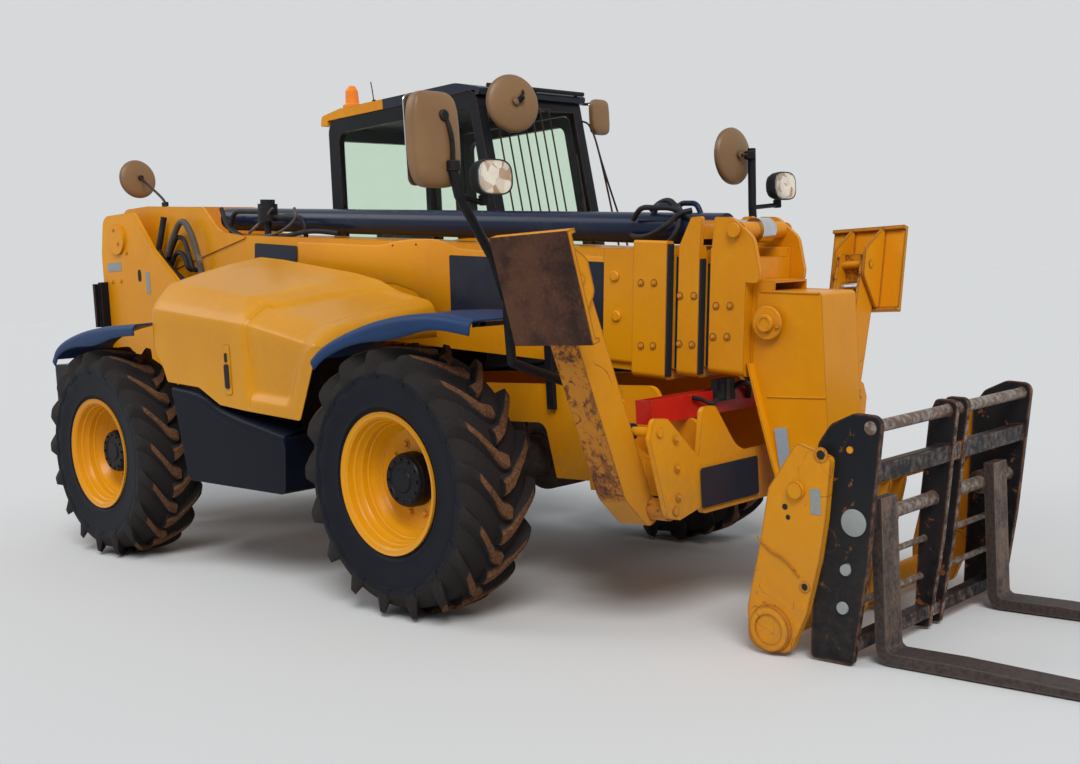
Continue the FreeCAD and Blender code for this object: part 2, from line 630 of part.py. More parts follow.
def toolCarrier():
    """Quick hitch: two outer plates on a torque tube, which turns in the foot of the drop head."""
    line = [(1760, 668, 20), (1706, 430, 20), (1640, 190, 60), (forkPivotX - 110, 30, 60), (1735, 8, 60),
            (1830, 22, 60), (1912, 188, 60), (1978, 410, 40), (2010, 560, 40), (2045, 800, 25), (1895, 852, 25)]
    plate = sidePlate(line, carrierHalf - 30, carrierHalf)
    hookPin = rod((1962, carrierHalf - 30, 766), (1962, carrierHalf - 44, 766), 26.0)
    discEnd = rod((forkPivotX, carrierHalf, forkPivotZ), (forkPivotX, carrierHalf + 14, forkPivotZ), 92.0)
    tubePiece = rod((forkPivotX, -carrierHalf + 5, forkPivotZ), (forkPivotX, carrierHalf - 5, forkPivotZ),
                    torqueTubeRadius)
    stop = rod((forkPivotX, noseWidth + 8 + swingGap, forkPivotZ), (forkPivotX, noseWidth + 40, forkPivotZ),
               96.0)
    crossBar = rod((1900, -carrierHalf + 5, 640), (1900, carrierHalf - 5, 640), 40.0)
    lugs = []
    for sign in (1, -1):
        lug = sidePlate([(forkPivotX - 45, forkPivotZ - 30, 0), (forkPivotX + 60, forkPivotZ - 30, 0),
                         (1940, 600, 40), (1940, 680, 35), (1862, 680, 35), (tiltEyeX - 50, tiltEyeZ + 40, 50)],
                        tiltEyeHalf + swingGap, tiltEyeHalf + swingGap + 18)
        lugs.append(side(lug, sign))
    return joined([plate, mirrored(plate), discEnd, mirrored(discEnd), stop, mirrored(stop), tubePiece,
                   crossBar]
                  + lugs)


def forkFrame():
    """Black carriage: end plates, centre uprights, rails and the round shaft that the forks hang on."""
    line = [(1900, 12, 20), (1972, 850, 40), (2030, 925, 60), (2130, 968, 40), (2246, 958, 40),
            (2210, 717, 0),
            (2160, 380, 0), (2085, 6, 20)]
    inner = carrierHalf - 30 - 1.0
    plates = [sidePlate(line, inner - 22, inner)]
    slim = [(2010, 12, 10), (2030, 120, 0), (2068, 560, 0), (2120, 900, 30), (2150, 960, 20), (2244, 955, 30),
            (2208, 717, 0), (2158, 380, 0), (2085, 12, 10)]
    plates.append(sidePlate(slim, uprightY - 12, uprightY + 12))
    plates += [mirrored(p) for p in plates]
    bars = [rod((2195, -inner, 915), (2195, inner, 915), 24.0),
            rod((shaftX, -inner, shaftZ), (shaftX, inner, shaftZ), shaftRadius),
            rod((2078, -inner, 385), (2078, inner, 385), 13.0),
            rod((2055, -inner, 225), (2055, inner, 225), 13.0),
            sidePlate([(2135, 700, 8), (2200, 706, 8), (2206, 780, 8), (2140, 774, 8)], -inner, inner),
            sidePlate([(2030, 52, 8), (2090, 52, 8), (2092, 108, 8), (2032, 108, 8)], -inner, inner)]
    tabs = rod((1985, inner, 480), (1985, inner + 0.9, 480), 50.0)
    return joined(plates + bars + [tabs, mirrored(tabs)])


def fork(y):
    """L shaped fork, hung on the shaft by its eye."""
    top = 640.0
    back = 2142.0
    half = forkWidth / 2.0
    shank = sidePlate([(back, 8, 60), (frontReach, 8, 0), (frontReach, 20, 0),
                       (frontReach - 900, 8 + forkThickness, 0),
                       (back + forkThickness, 8 + forkThickness, 25), (back + forkThickness, top, 0), (back, top, 0)],
                      y - half, y + half)
    taper = floorPlate([(2000, y - half), (frontReach - 220, y - half), (frontReach, y - half + 36, 22),
                        (frontReach, y + half - 36, 22), (frontReach - 220, y + half), (2000, y + half)], 0, 1000)
    eye = rod((shaftX, y - half, shaftZ), (shaftX, y + half, shaftZ), shaftRadius + 22)
    web = block(shaftX, back + 20, y - half, y + half, shaftZ - 40, shaftZ + 40)
    bore = rod((shaftX, y - half - 5, shaftZ), (shaftX, y + half + 5, shaftZ), shaftRadius + runFit)
    return joined([shank.common(taper), eye, web]).cut(bore)


# Cab

frontFoot = -800.0
cabLine = [(cabRear + 95, cabFloor, 30), (cabRear, 1160, 60), (cabRear + 30, 2630, 90), (-745, 2630, 60),
           (-545, 1450, 40), (-660, 1400, 60), (frontFoot, cabFloor, 40)]
doorHinge = (-1795.0, bodySide + 22.0)


def inset(points, amount, rounded=False):
    """The outline, moved inwards by an amount, as a face in X and Z."""
    wire = outline([p if rounded else p[:2] for p in points], lambda p: V(p.x, 0, p.y))
    return Part.Face(wire).makeOffset2D(-amount, 0 if rounded else 2)


def slab(face, y0, y1):
    face = face.copy()
    face.translate(V(0, y0, 0))
    return face.extrude(V(0, y1 - y0, 0))


doorLine = [(-1770, 1040, 40), (-1770, 2540, 60), (-800, 2540, 60), (-640, 1530, 50), (-700, 1440, 60),
            (-850, 1040, 60)]
rightWindow = [(-2040, 1500, 60), (-2020, 2540, 70), (-800, 2540, 60), (-640, 1560, 60)]
quarterWindow = [(-2065, 1500, 50), (-2045, 2540, 60), (-1865, 2540, 50), (-1865, 1500, 50)]
doorWindow = [(-1700, 1200, 60), (-1700, 2475, 60), (-850, 2475, 60), (-705, 1520, 60), (-770, 1440, 60),
              (-870, 1200, 60)]


def acrossWindow(x0, x1, z0, z1, margin):
    """Cutter through the front or rear wall, leaving a post at each side."""
    return block(x0, x1, cabInner + margin, bodySide - margin, z0, z1)


def cabShell():
    """The whole cab as a solid, and the room inside it."""
    outer = slab(Part.Face(outline(cabLine, lambda p: V(p.x, 0, p.y))), cabInner, bodySide)
    room = slab(inset(cabLine, cabWall), cabInner + cabWall, bodySide - cabWall)
    return outer, room


def windowCutters():
    return dict(
        right=sidePlate(rightWindow, cabInner - 5, cabInner + cabWall + 5),
        quarter=sidePlate(quarterWindow, bodySide - cabWall - 5, bodySide + 5),
        rear=acrossWindow(cabRear - 20, cabRear + 90, 1600, 2500, 75),
        front=acrossWindow(-900, -400, 1500, 2540, 70))


def cabFrame():
    outer, room = cabShell()
    cuts = windowCutters()
    opening = sidePlate(doorLine, bodySide - cabWall - 5, bodySide + 60)
    shell = outer.cut(room)
    frontCut = cuts["front"].cut(room)
    shell = without(shell, [cuts["right"], cuts["quarter"], cuts["rear"], frontCut, opening])
    hinges = []
    for z in (1330.0, 2330.0):
        pin = rod((doorHinge[0], doorHinge[1], z - 40), (doorHinge[0], doorHinge[1], z + 40), 8.0)
        for low in (z - 40, z + 22):
            hinges.append(floorPlate([(doorHinge[0] - 60, bodySide - 2), (doorHinge[0] + 0, bodySide - 2),
                                      (doorHinge[0] + 14, doorHinge[1], 0), (doorHinge[0] + 8, doorHinge[1] + 14, 8),
                                      (doorHinge[0] - 40, doorHinge[1] + 4, 0)], low, low + 18))
        hinges.append(pin)
    feet = [block(x, x + 100, railOuter - railThickness, bodySide - 250, railTop, cabFloor + 4)
            for x in (-2030, -1000)]
    return joined([shell] + hinges + feet)


def cabRoof():
    """Moulded roof cap, standing out round the top of the cab."""
    line = [(cabRear - 45, 2600, 12), (cabRear - 30, 2664, 30), (cabRear + 160, roofTop, 200),
            (-900, roofTop, 200),
            (-700, 2640, 20), (-715, 2600, 10)]
    cap = sidePlate(line, cabInner - 4, bodySide + roofRim)
    return cap.cut(slab(inset(cabLine, 0.0), cabInner - 10, bodySide))


def cabGlass():
    """Window panes, each in the middle of its wall."""
    cuts = windowCutters()
    mid = cabWall / 2.0
    half = glassThickness / 2.0
    panes = [cuts["right"].common(block(-3000, 0, cabInner + mid - half, cabInner + mid + half, 0, 3000)),
             cuts["quarter"].common(block(-3000, 0, bodySide - mid - half, bodySide - mid + half, 0, 3000))]
    thick = slab(inset(cabLine, mid - half), cabInner,
                 bodySide).cut(slab(inset(cabLine, mid + half), cabInner, bodySide))
    panes.append(cuts["rear"].common(thick))
    panes.append(cuts["front"].common(thick).common(block(-900, -400, 0, 2000, 1500, 2540)))
    return panes


def cabDoor():
    slim = slab(inset(doorLine, swingGap, True), bodySide - cabWall + 4, bodySide)
    window = sidePlate(doorWindow, bodySide - 100, bodySide + 10)
    pieces = [slim.cut(window)]
    for z in (1330.0, 2330.0):
        pieces.append(rod((doorHinge[0], doorHinge[1], z - 21), (doorHinge[0], doorHinge[1], z + 21), 15.0))
        pieces.append(floorPlate([(doorHinge[0], doorHinge[1] - 4), (doorHinge[0], doorHinge[1] + 12),
                                  (-1735, bodySide + 8, 0), (-1735, bodySide - 2, 0), (-1760, bodySide - 2, 0),
                                  (-1762, doorHinge[1] - 4, 0)], z - 21, z + 21))
    door = joined(pieces)
    for z in (1330.0, 2330.0):
        door = door.cut(rod((doorHinge[0], doorHinge[1], z - 60), (doorHinge[0], doorHinge[1], z + 60),
                            8.0 + runFit))
    return door


def doorGlass():
    mid = bodySide - cabWall / 2.0
    return sidePlate(doorWindow, mid - glassThickness / 2.0, mid + glassThickness / 2.0)


def seat():
    """Suspension seat on a box, with backrest and arm rest."""
    x, y, floor = -1750.0, (cabInner + bodySide) / 2.0, cabFloor + cabWall
    base = block(x - 130, x + 260, y - 200, y + 200, floor, floor + 260)
    cushion = sidePlate([(x - 190, floor + 260, 0), (x + 300, floor + 260, 30), (x + 310, floor + 370, 40),
                         (x - 190, floor + 350, 0)], y - 240, y + 240)
    back = sidePlate([(x - 190, floor + 262, 0), (x - 80, floor + 300, 0), (x - 150, floor + 960, 40),
                      (x - 250, floor + 960, 40), (x - 230, floor + 400, 0)], y - 230, y + 230)
    console = block(x - 60, x + 330, cabInner + cabWall, y - 260, floor, floor + 480)
    return [joined([base, cushion, back]), console]


def steeringColumn():
    x, y, floor = -1010.0, (cabInner + bodySide) / 2.0, cabFloor + cabWall
    foot = rod((x + 55, y, floor), (x + 55, y, floor + 26), 75.0)
    column = rod((x + 57, y, floor + 16), (x - 60, y, floor + 620), 45.0)
    wheel = Part.makeTorus(190, 14, V(x - 66, y, floor + 650), V(-0.19, 0, 0.98))
    spokes = [rod((x - 62, y - 190, floor + 650), (x - 62, y + 190, floor + 650), 9.0),
              rod((x - 66, y, floor + 650), (x - 60, y, floor + 610), 30.0)]
    return joined([foot, column, wheel] + spokes)


# Engine side

bonnetRear = -2100.0
hingeY = railOuter + 3.0               # hinge line of the bonnet, on two posts between bonnet and boom
hingeZ = 1640.0
hingeBarrel = 16.0
hingePin = 8.0
bonnetHinges = (-2020.0, -1560.0)
skirtFloor = 550.0           # inner floor of the engine tray


def bonnetSolid(cover):
    """Solid bonnet drawn smaller all round by cover, as sections across the machine."""
    c = cover
    out = -bodySide + c
    inn = -railOuter - 22.0 - c
    table = [
        # x, bottom, shoulder height, shoulder y, ridge height, ridge y
        (bonnetRear + c, 1120 + c, 1540 - c, out, 1745 - c, inn),
        (-1820, 1090 + c, 1505 - c, out, 1710 - c, inn),
        (-1150, 900 + c, 1425 - c, out, 1600 - c, inn),
        (-500 - c, 900 + c, 1292 - c, out, 1450 - c, inn),
    ]
    wires = []
    for x, low, shoulder, edge, ridge, ridgeY in table:
        low -= 400.0 if cover else 0.0
        pts = [V(x, ridgeY, low), V(x, edge, low), V(x, edge, shoulder - 60), V(x, edge + 60, shoulder),
               V(x, out + 490, shoulder + 0.82 * (ridge - shoulder)), V(x, ridgeY, ridge)]
        wires.append(Part.makePolygon(pts + [pts[0]]))
    return Part.makeLoft(wires, True, True)


def bonnet():
    """Engine cover: a shell that swings up about its inner top edge."""
    shell = bonnetSolid(0.0).cut(bonnetSolid(24.0))
    below = sidePlate([(bonnetRear - 10, 0), (-1700, 0), (-400, 0), (-400, 1290), (-498, 1262), (-572, 1166),
                       (-700, 908, 0), (-1170, 944, 0), (-1420, 970, 0), (-1620, 1062, 0), (-1950, 1092, 0),
                       (bonnetRear + 20, 1470, 0), (bonnetRear - 10, 1560, 0)], -bodySide - 5, 0)
    openSide = block(bonnetRear + 24, -524, -railOuter - 60, -railOuter, 0, 1500)
    shell = shell.cut(below).cut(openSide)
    leaves = []
    for x in bonnetHinges:
        for x0 in (x - 68, x + 22):
            leaves.append(rod((x0, -hingeY, hingeZ), (x0 + 46, -hingeY, hingeZ), hingeBarrel))
            leaves.append(block(x0, x0 + 46, -railOuter - 34, -hingeY - 6, hingeZ - 90, hingeZ))
    shell = joined([shell] + leaves)
    return shell.cut(rod((bonnetRear, -hingeY, hingeZ), (-1000, -hingeY, hingeZ), hingePin + runFit))


def engineBlock():
    x0, x1 = -1690.0, -1000.0
    core = block(x0, x1, -bodySide + 230, -railOuter - 125, 700, 1240)
    sump = block(x0 + 60, x1 - 60, -bodySide + 310, -railOuter - 195, skirtFloor, 700)
    cooler = block(x0 - 90, x0 - 30, -bodySide + 90, -railOuter - 85, 620, 1360)
    fan = rod((x0 - 30, -bodySide + 430, 1000), (x0, -bodySide + 430, 1000), 60)
    return joined([core, sump, cooler, fan])


def sideSkirt():
    """Black tray under the engine: side, floor and end walls."""
    line = [(-1905, 1048, 20), (-1600, 1015, 60), (-1440, 925, 60), (-835, 815, 30), (-868, 512, 40),
            (-1790, 530, 60)]
    solid = sidePlate(line, -bodySide, -railOuter)
    hollow = sidePlate([(-1880, 1100, 0), (-1590, 1100, 0), (-860, 1100, 0), (-880, skirtFloor, 0),
                        (-1775, skirtFloor, 0)],
                       -bodySide + 12, -railOuter - 14)
    return solid.cut(hollow)


def leftBase():
    """Tank and, in front of it, a step box of plates with two treads."""
    tank = sidePlate([(-1930, railTop, 20), (-1450, railTop, 20), (-1450, 540, 60), (-1790, 540, 60)],
                     railOuter, bodySide - 40)
    front, rear, wall = frontFoot - 30, -1435, -1405
    step = sidePlate([(rear, railTop, 0), (front, railTop, 0), (-880, 500, 30), (rear, 500, 30)],
                     railOuter, bodySide)
    upperIn, lowerIn = bodySide - 230, bodySide - 170
    walls = [(rear, front, railOuter, upperIn, 500, railTop), (rear, wall, upperIn, bodySide, 500, railTop),
             (wall, front, upperIn, bodySide, 500, 530), (wall, front, upperIn, lowerIn, 530, 750),
             (wall, front, upperIn, bodySide, 750, 780), (wall, front, upperIn, bodySide, 960, railTop)]
    return [tank] + [step.common(block(*limits)) for limits in walls]


def mudguard(sign, front):
    """Arched sheet over a tyre, with a turned-down outer lip and the stay that holds it."""
    if front:
        x = 0.0
        top = [(-502, 1212), (-415, 1272, 60), (-210, 1340, 200), (60, 1398, 300), (400, 1416, 300),
               (650, 1374)]
    else:
        x = rearAxleX
        top = [(x - 478, 1212), (x - 400, 1304, 60), (x - 120, 1374, 200), (x + 230, 1408, 400),
               (cabRear - 15, 1412)]
    under = [(px + (12 if px < x - 200 else 2), pz - mudguardSheet - 4) + tuple(r) for px, pz, *r in top]
    sheet = sidePlate(top + under[::-1], 800, mudguardSide)
    lipLow = [(px, pz - 40) + tuple(r) for px, pz, *r in top]
    lip = sidePlate(top + lipLow[::-1], mudguardSide, mudguardSide + mudguardSheet)
    stayX = 300.0 if front else x + 200.0
    stay = joined([block(stayX - 25, stayX + 25, railOuter, 830, 1330, 1352),
                   block(stayX - 25, stayX + 25, railOuter, railOuter + 22, 900, 1352),
                   block(stayX - 25, stayX + 25, 790, 830, 1330, 1402)])
    return side(joined([sheet, lip, stay]), sign)


# Masts, lamps, mirrors and small parts

def lightMast(sign):
    x = 680.0
    if sign < 0:
        upper = [(x, 1000, 1450), (x, 1075, 1640), (x, 1240, 1890), (x, 1270, 2020)]
    else:
        upper = [(x, 900, 1450), (x, 870, 1640), (x, 862, 1850), (x, 880, 2160)]
    foot = [(x, railOuter + 12, 990), (x, 640, 1060), (x, abs(upper[0][1]) - 10, 1180)]
    mast = pipe(foot + upper, 21.0)
    plate = block(x - 45, x + 45, railOuter, railOuter + 14, 964, 1018)
    inward = 1.0 if upper[-2][1] < 1100 else -1.0
    bar = pipe([upper[-2], (x, 1100 - inward * 25, 1864), (x, 1100 + inward * 15, 1864)], 12.0)
    return side(joined([mast, plate, bar]), sign)


def headLamp(sign):
    """Wide lamp with rounded corners, on a stub that stands on the bar of its mast."""
    line = [(1006, 1895, 45), (1194, 1895, 45), (1194, 2030, 45), (1006, 2030, 45)]
    body = crossPlate(line, 660, 722)
    back = crossPlate([(1040, 1915, 30), (1160, 1915, 30), (1160, 2010, 30), (1040, 2010, 30)], 632, 660)
    stem = rod((680, 1100, 1876.3), (680, 1100, 1900), 12.0)
    return side(joined([body, back, stem]), sign)


cabMirrorRadius = 165.0
cabMirrorSetIn = 134.0       # cab mirror, left of the cab's right wall, where the boom passes it


def roundMirror(centre, axis, radius, arm):
    disc = turned([(0.0, 0), (0.0, radius), (-14.0, radius), (-46.0, radius * 0.45), (-46.0, 0)], centre,
                  axis)
    return joined([disc, pipe(arm, 9.0)])


def mirrorSet():
    """Mirrors on the light masts and on the cab."""
    rightCase = crossPlate([(-mirrorSpan, 1925, 60), (-1185, 1925, 60), (-1185, 2315, 60),
                            (-mirrorSpan, 2315, 60)],
                           592, 647)
    rightCase = joined([rightCase, rod((640, -1268, 1990), (658.7, -1268, 1990), 14.0)])
    leftRound = roundMirror((600, 805, 2125), (-1, 0, 0), 150.0,
                            [(642, 805, 2125), (680, 805, 2125), (680, 856.4, 2125)])
    y = cabInner + cabMirrorSetIn
    cabRound = roundMirror((-590, y, 2536), (-1, 0.3, -0.08), cabMirrorRadius,
                           [(-552, y - 12, 2539), (-510, y + 26, 2585), (-620, y + 66, 2622),
                            (-706.6, y + 66, 2622)])
    doorMirror = crossPlate([(bodySide + 88, 2419, 30), (bodySide + 246, 2419, 30),
                             (bodySide + 246, 2639, 30),
                             (bodySide + 88, 2639, 30)], -745, -715)
    arm = pipe([(-730, bodySide + 110, 2612), (-780, bodySide + 110, 2612),
                (-780, bodySide + roofRim + 0.2, 2612)], 9.0)
    return [rightCase, leftRound, cabRound, joined([doorMirror, arm])]


def boomMirror():
    x, z = boomPoint(420, 235)
    return roundMirror((pivotX - 216, -40, 2440), (-1, 0, -0.12), 140.0,
                       [(pivotX - 174, -40, 2445), (pivotX - 60, -60, 2400), (x, -207, z + 45),
                        (x, -207, z + 0.4)])


def beacon():
    x, y = -1960.0, 330.0
    base = turned([(0, 0), (0, 62), (22, 62), (30, 48), (30, 0)], (x, y, roofTop), (0, 0, 1))
    dome = turned([(30, 0), (30, 44), (110, 40), (140, 24), (146, 0)], (x, y, roofTop), (0, 0, 1))
    return joined([base, dome])


def tailLamps():
    lamps = []
    for sign in (1, -1):
        post = block(rearFace + 24, rearFace + 60, railOuter, railOuter + 60, 1140, 1700)
        lamp = block(rearFace, rearFace + 24, railOuter, railOuter + 90, 1380, 1690)
        lamps.append(side(joined([post, lamp]), sign))
    return lamps


def boomProp():
    """Red safety strut, stored across the front frame under the boom."""
    beam = crossPlate([(-600, propFoot), (360, propFoot), (360, 985), (-600, 985)], 1030, 1120)
    return beam.cut(block(1042, 1108, -590, 350, propFoot + 12, 990))


def ramBarrel():
    """Barrel of the extension ram, on top of the boom, with the hose loops over its front end."""
    barrel = rod((ramRear, 0, ramCentre), (ramGland, 0, ramCentre), ramRadius - seatGap)
    loops = []
    for start, stop, y, rise in ((ramGland - 420, ramGland - 210, -38, 110),
                                 (ramGland - 340, ramGland - 150, 28, 118)):
        loops.append(hose([(start, y, ramCentre + 30), (start + 45, y, ramCentre + rise),
                           (stop - 45, y, ramCentre + rise), (stop, y, ramCentre + 30)], 13.0, [45.0] * 2))
    bore = rod((ramRear + 60, 0, ramCentre), (ramGland + 10, 0, ramCentre), ramRodRadius + runFit)
    return joined([barrel] + loops).cut(bore)


def hose(points, radius, bends):
    """Tube along straight runs that are joined by arcs, each corner with its own bend radius."""
    stops = [V(*p) for p in points]
    edges = []
    start = stops[0]
    for before, here, after, bend in zip(stops, stops[1:], stops[2:], bends):
        a, b = before - here, after - here
        a.normalize()
        b.normalize()
        half = math.acos(a.dot(b)) / 2.0
        middle = a + b
        middle.normalize()
        reach = bend / math.tan(half)
        edges.append(Part.LineSegment(start, here + a * reach).toShape())
        crown = here + middle * (bend / math.sin(half) - bend)
        edges.append(Part.Arc(here + a * reach, crown, here + b * reach).toShape())
        start = here + b * reach
    edges.append(Part.LineSegment(start, stops[-1]).toShape())
    ring = Part.Wire(Part.makeCircle(radius, stops[0], stops[1] - stops[0]))
    return Part.Wire(edges).makePipeShell([ring], True, False)


def boomHoses():
    """Oil filter on the boom with its two hoses, and two hoses that cross the boom's right hand cheek."""
    half, top = sections[0]["half"], sections[0]["high"]
    y = 68.0 - half - 8.0
    can = joined([rod((filterAlong, y, top), (filterAlong, y, top + 94), 22.0),
                  rod((filterAlong, y, top + 92), (filterAlong, y, top + 200), 62.0),
                  rod((filterAlong, y, top + 190), (filterAlong, y, top + 227), 46.0),
                  hose([(filterAlong - 420, y, top), (filterAlong - 420, y, top + 150),
                        (filterAlong - 50, y, top + 150)], 15.0, [100.0]),
                  hose([(filterAlong + 50, y, top + 120), (filterAlong + 400, y, top + 120),
                        (filterAlong + 400, y, top)], 15.0, [90.0])])
    face = -half - 10.0
    crossing = [hose([(rear, face, low), (rear, face - 36, low), (peak, face - 36, high),
                      (front, face - 36, low + 86),
                      (front, face, low + 86)], 16.0, [30.0, 85.0, 30.0])
                for rear, peak, front, low, high in ((415, 690, 835, -270, 110), (480, 685, 775, -270, 10))]
    return [can] + crossing


def ramRod():
    """Rod of the extension ram, with its eye between the ears of the third section."""
    shaft = rod((ramRear + 90, 0, ramCentre), (ramPinAlong, 0, ramCentre), ramRodRadius)
    eye = rod((ramPinAlong, -ramEyeHalf, ramCentre), (ramPinAlong, ramEyeHalf, ramCentre), 56.0)
    bore = rod((ramPinAlong, -100, ramCentre), (ramPinAlong, 100, ramCentre), ramPinRadius + runFit)
    return joined([shaft, eye]).cut(bore)


def main():
    os.makedirs("parts", exist_ok=True)
    for x, place in ((0.0, "front"), (rearAxleX, "rear")):
        save(place + "_axle", axle(x))
        for sign, hand in ((1, "left"), (-1, "right")):
            tag = "_%s_%s" % (place, hand)
            save("tyre" + tag, tyre(x, sign * wheelY))
            save("rim" + tag, rim(x, sign))
            save("knuckle" + tag, knuckle(x, sign))
    save("chassis_frame", chassisFrame())
    save("rear_weight", rearWeight())
    save("front_frame", frontFrame())
    for sign, hand in ((1, "left"), (-1, "right")):
        save("stabiliser_leg_" + hand, stabiliserLeg(sign))
        save("stabiliser_pad_" + hand, stabiliserPad(sign))
        base, eye = stabiliserRam(sign)
        barrel, shaft = ramPair(base, eye, stabRam, stabEyeHalf, stabPinRadius)
        save("stabiliser_barrel_" + hand, side(barrel, sign))
        save("stabiliser_rod_" + hand, side(shaft, sign))
    save("outer_boom", onBoom(outerBoom()))
    save("boom_2", onBoom(boomTwo()))
    save("boom_3", onBoom(boomThree()))
    save("boom_nose", boomNose())
    save("ram_barrel", onBoom(ramBarrel()))
    save("ram_rod", onBoom(ramRod()))
    eyeX, eyeZ = boomPoint(liftEyeAlong, -liftEyeBelow)
    barrel, shaft = ramPair(V(liftBaseX, 0, liftBaseZ), V(eyeX, 0, eyeZ), liftRam, liftEyeHalf,
                            liftPinRadius)
    save("lift_barrel", barrel)
    save("lift_rod", shaft)
    barrel, shaft = ramPair(V(tiltBaseX, 0, tiltBaseZ), V(tiltEyeX, 0, tiltEyeZ), tiltRam, tiltEyeHalf,
                            tiltPinRadius)
    save("tilt_barrel", barrel)
    save("tilt_rod", shaft)
    save("tool_carrier", toolCarrier())
    save("fork_frame", forkFrame())
    save("fork_left", fork(430.0))
    save("fork_right", fork(-530.0))
    save("cab_frame", cabFrame())
    save("cab_roof", cabRoof())
    save("cab_glass", cabGlass())
    save("cab_door", cabDoor())
    save("door_glass", doorGlass())
    save("seat", seat())
    save("steering_column", steeringColumn())
    save("bonnet", bonnet())
    save("engine_block", engineBlock())
    save("side_skirt", sideSkirt())
    save("left_base", leftBase())
    save("front_mudguards", [mudguard(1, True), mudguard(-1, True)])
    save("rear_mudguards", [mudguard(1, False), mudguard(-1, False)])
    save("light_masts", [lightMast(1), lightMast(-1)])
    save("head_lamps", [headLamp(1), headLamp(-1)])
    save("mirrors", mirrorSet())
    save("boom_mirror", boomMirror())
    save("boom_hoses", [onBoom(part) for part in boomHoses()])
    save("beacon", beacon())
    save("tail_lamps", tailLamps())
    save("boom_prop", boomProp())


main()
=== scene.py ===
import math
import bmesh
import bpy
import numpy as np
from mathutils import Matrix


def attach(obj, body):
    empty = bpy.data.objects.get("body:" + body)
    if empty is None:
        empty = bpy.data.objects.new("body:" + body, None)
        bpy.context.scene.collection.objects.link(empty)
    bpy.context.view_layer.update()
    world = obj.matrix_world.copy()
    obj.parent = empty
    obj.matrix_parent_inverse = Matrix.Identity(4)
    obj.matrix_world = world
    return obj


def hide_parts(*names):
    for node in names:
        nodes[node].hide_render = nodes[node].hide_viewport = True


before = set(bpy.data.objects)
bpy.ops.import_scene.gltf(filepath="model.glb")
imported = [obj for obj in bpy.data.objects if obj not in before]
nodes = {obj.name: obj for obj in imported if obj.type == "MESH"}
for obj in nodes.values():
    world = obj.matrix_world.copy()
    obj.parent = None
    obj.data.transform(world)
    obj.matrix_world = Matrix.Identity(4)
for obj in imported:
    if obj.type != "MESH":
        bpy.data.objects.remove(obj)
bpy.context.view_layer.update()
print("frame loaded:", len(nodes), "nodes")

# Machine values that several pieces share, in metres; toRight points to the machine's right side
wheelCentres = {"front_right": (0.375, -1.0, 0.635), "front_left": (0.375, 1.0, 0.635),
    "rear_right": (-2.375, -1.0, 0.635), "rear_left": (-2.375, 1.0, 0.635)}
boomPivot = np.array([-3.475, 0.0, 1.99])
boomSlope = math.radians(5.0)
toRight = (0, -1, 0)


# Camera first, from the photograph's own view

cameraView = dict(place=(4.939, -4.834, 1.504), yaw=134.08, pitch=-4.33, roll=-3.21, lens=42.54, sensor=36.0)


def makeCamera(view):
    yaw, pitch, roll = (math.radians(view[k]) for k in ("yaw", "pitch", "roll"))
    ahead = np.array([math.cos(yaw) * math.cos(pitch), math.sin(yaw) * math.cos(pitch), math.sin(pitch)])
    right = np.cross(ahead, [0, 0, 1])
    right /= np.linalg.norm(right)
    above = np.cross(right, ahead)
    tilted = right * math.cos(roll) + above * math.sin(roll)
    raised = -right * math.sin(roll) + above * math.cos(roll)
    data = bpy.data.cameras.new("photoCamera")
    data.lens, data.sensor_width, data.clip_end = view["lens"], view["sensor"], 200.0
    camera = bpy.data.objects.new("photoCamera", data)
    turn = np.eye(4)
    turn[:3, 0], turn[:3, 1], turn[:3, 2], turn[:3, 3] = tilted, raised, -ahead, view["place"]
    camera.matrix_world = Matrix(turn.tolist())
    bpy.context.scene.collection.objects.link(camera)
    bpy.context.scene.camera = camera


makeCamera(cameraView)
print("camera placed")


# Shader tools

class Wire:
    # a socket that can stand in sums; every operator adds one Math node
    def __init__(self, tree, socket):
        self.tree, self.socket = tree, socket

    def math(self, operation, *items, clamp=False):
        node = self.tree.nodes.new("ShaderNodeMath")
        node.operation, node.use_clamp = operation, clamp
        for socket, item in zip(node.inputs, items):
            plug(self.tree, socket, item)
        return Wire(self.tree, node.outputs[0])

    def __add__(self, other): return self.math("ADD", self, other)
    def __radd__(self, other): return self.math("ADD", other, self)
    def __sub__(self, other): return self.math("SUBTRACT", self, other)
    def __rsub__(self, other): return self.math("SUBTRACT", other, self)
    def __mul__(self, other): return self.math("MULTIPLY", self, other)
    def __rmul__(self, other): return self.math("MULTIPLY", other, self)
    def clip(self): return self.math("ADD", self, 0.0, clamp=True)


def plug(tree, socket, item):
    if isinstance(item, Wire):
        tree.links.new(item.socket, socket)
    else:
        socket.default_value = item


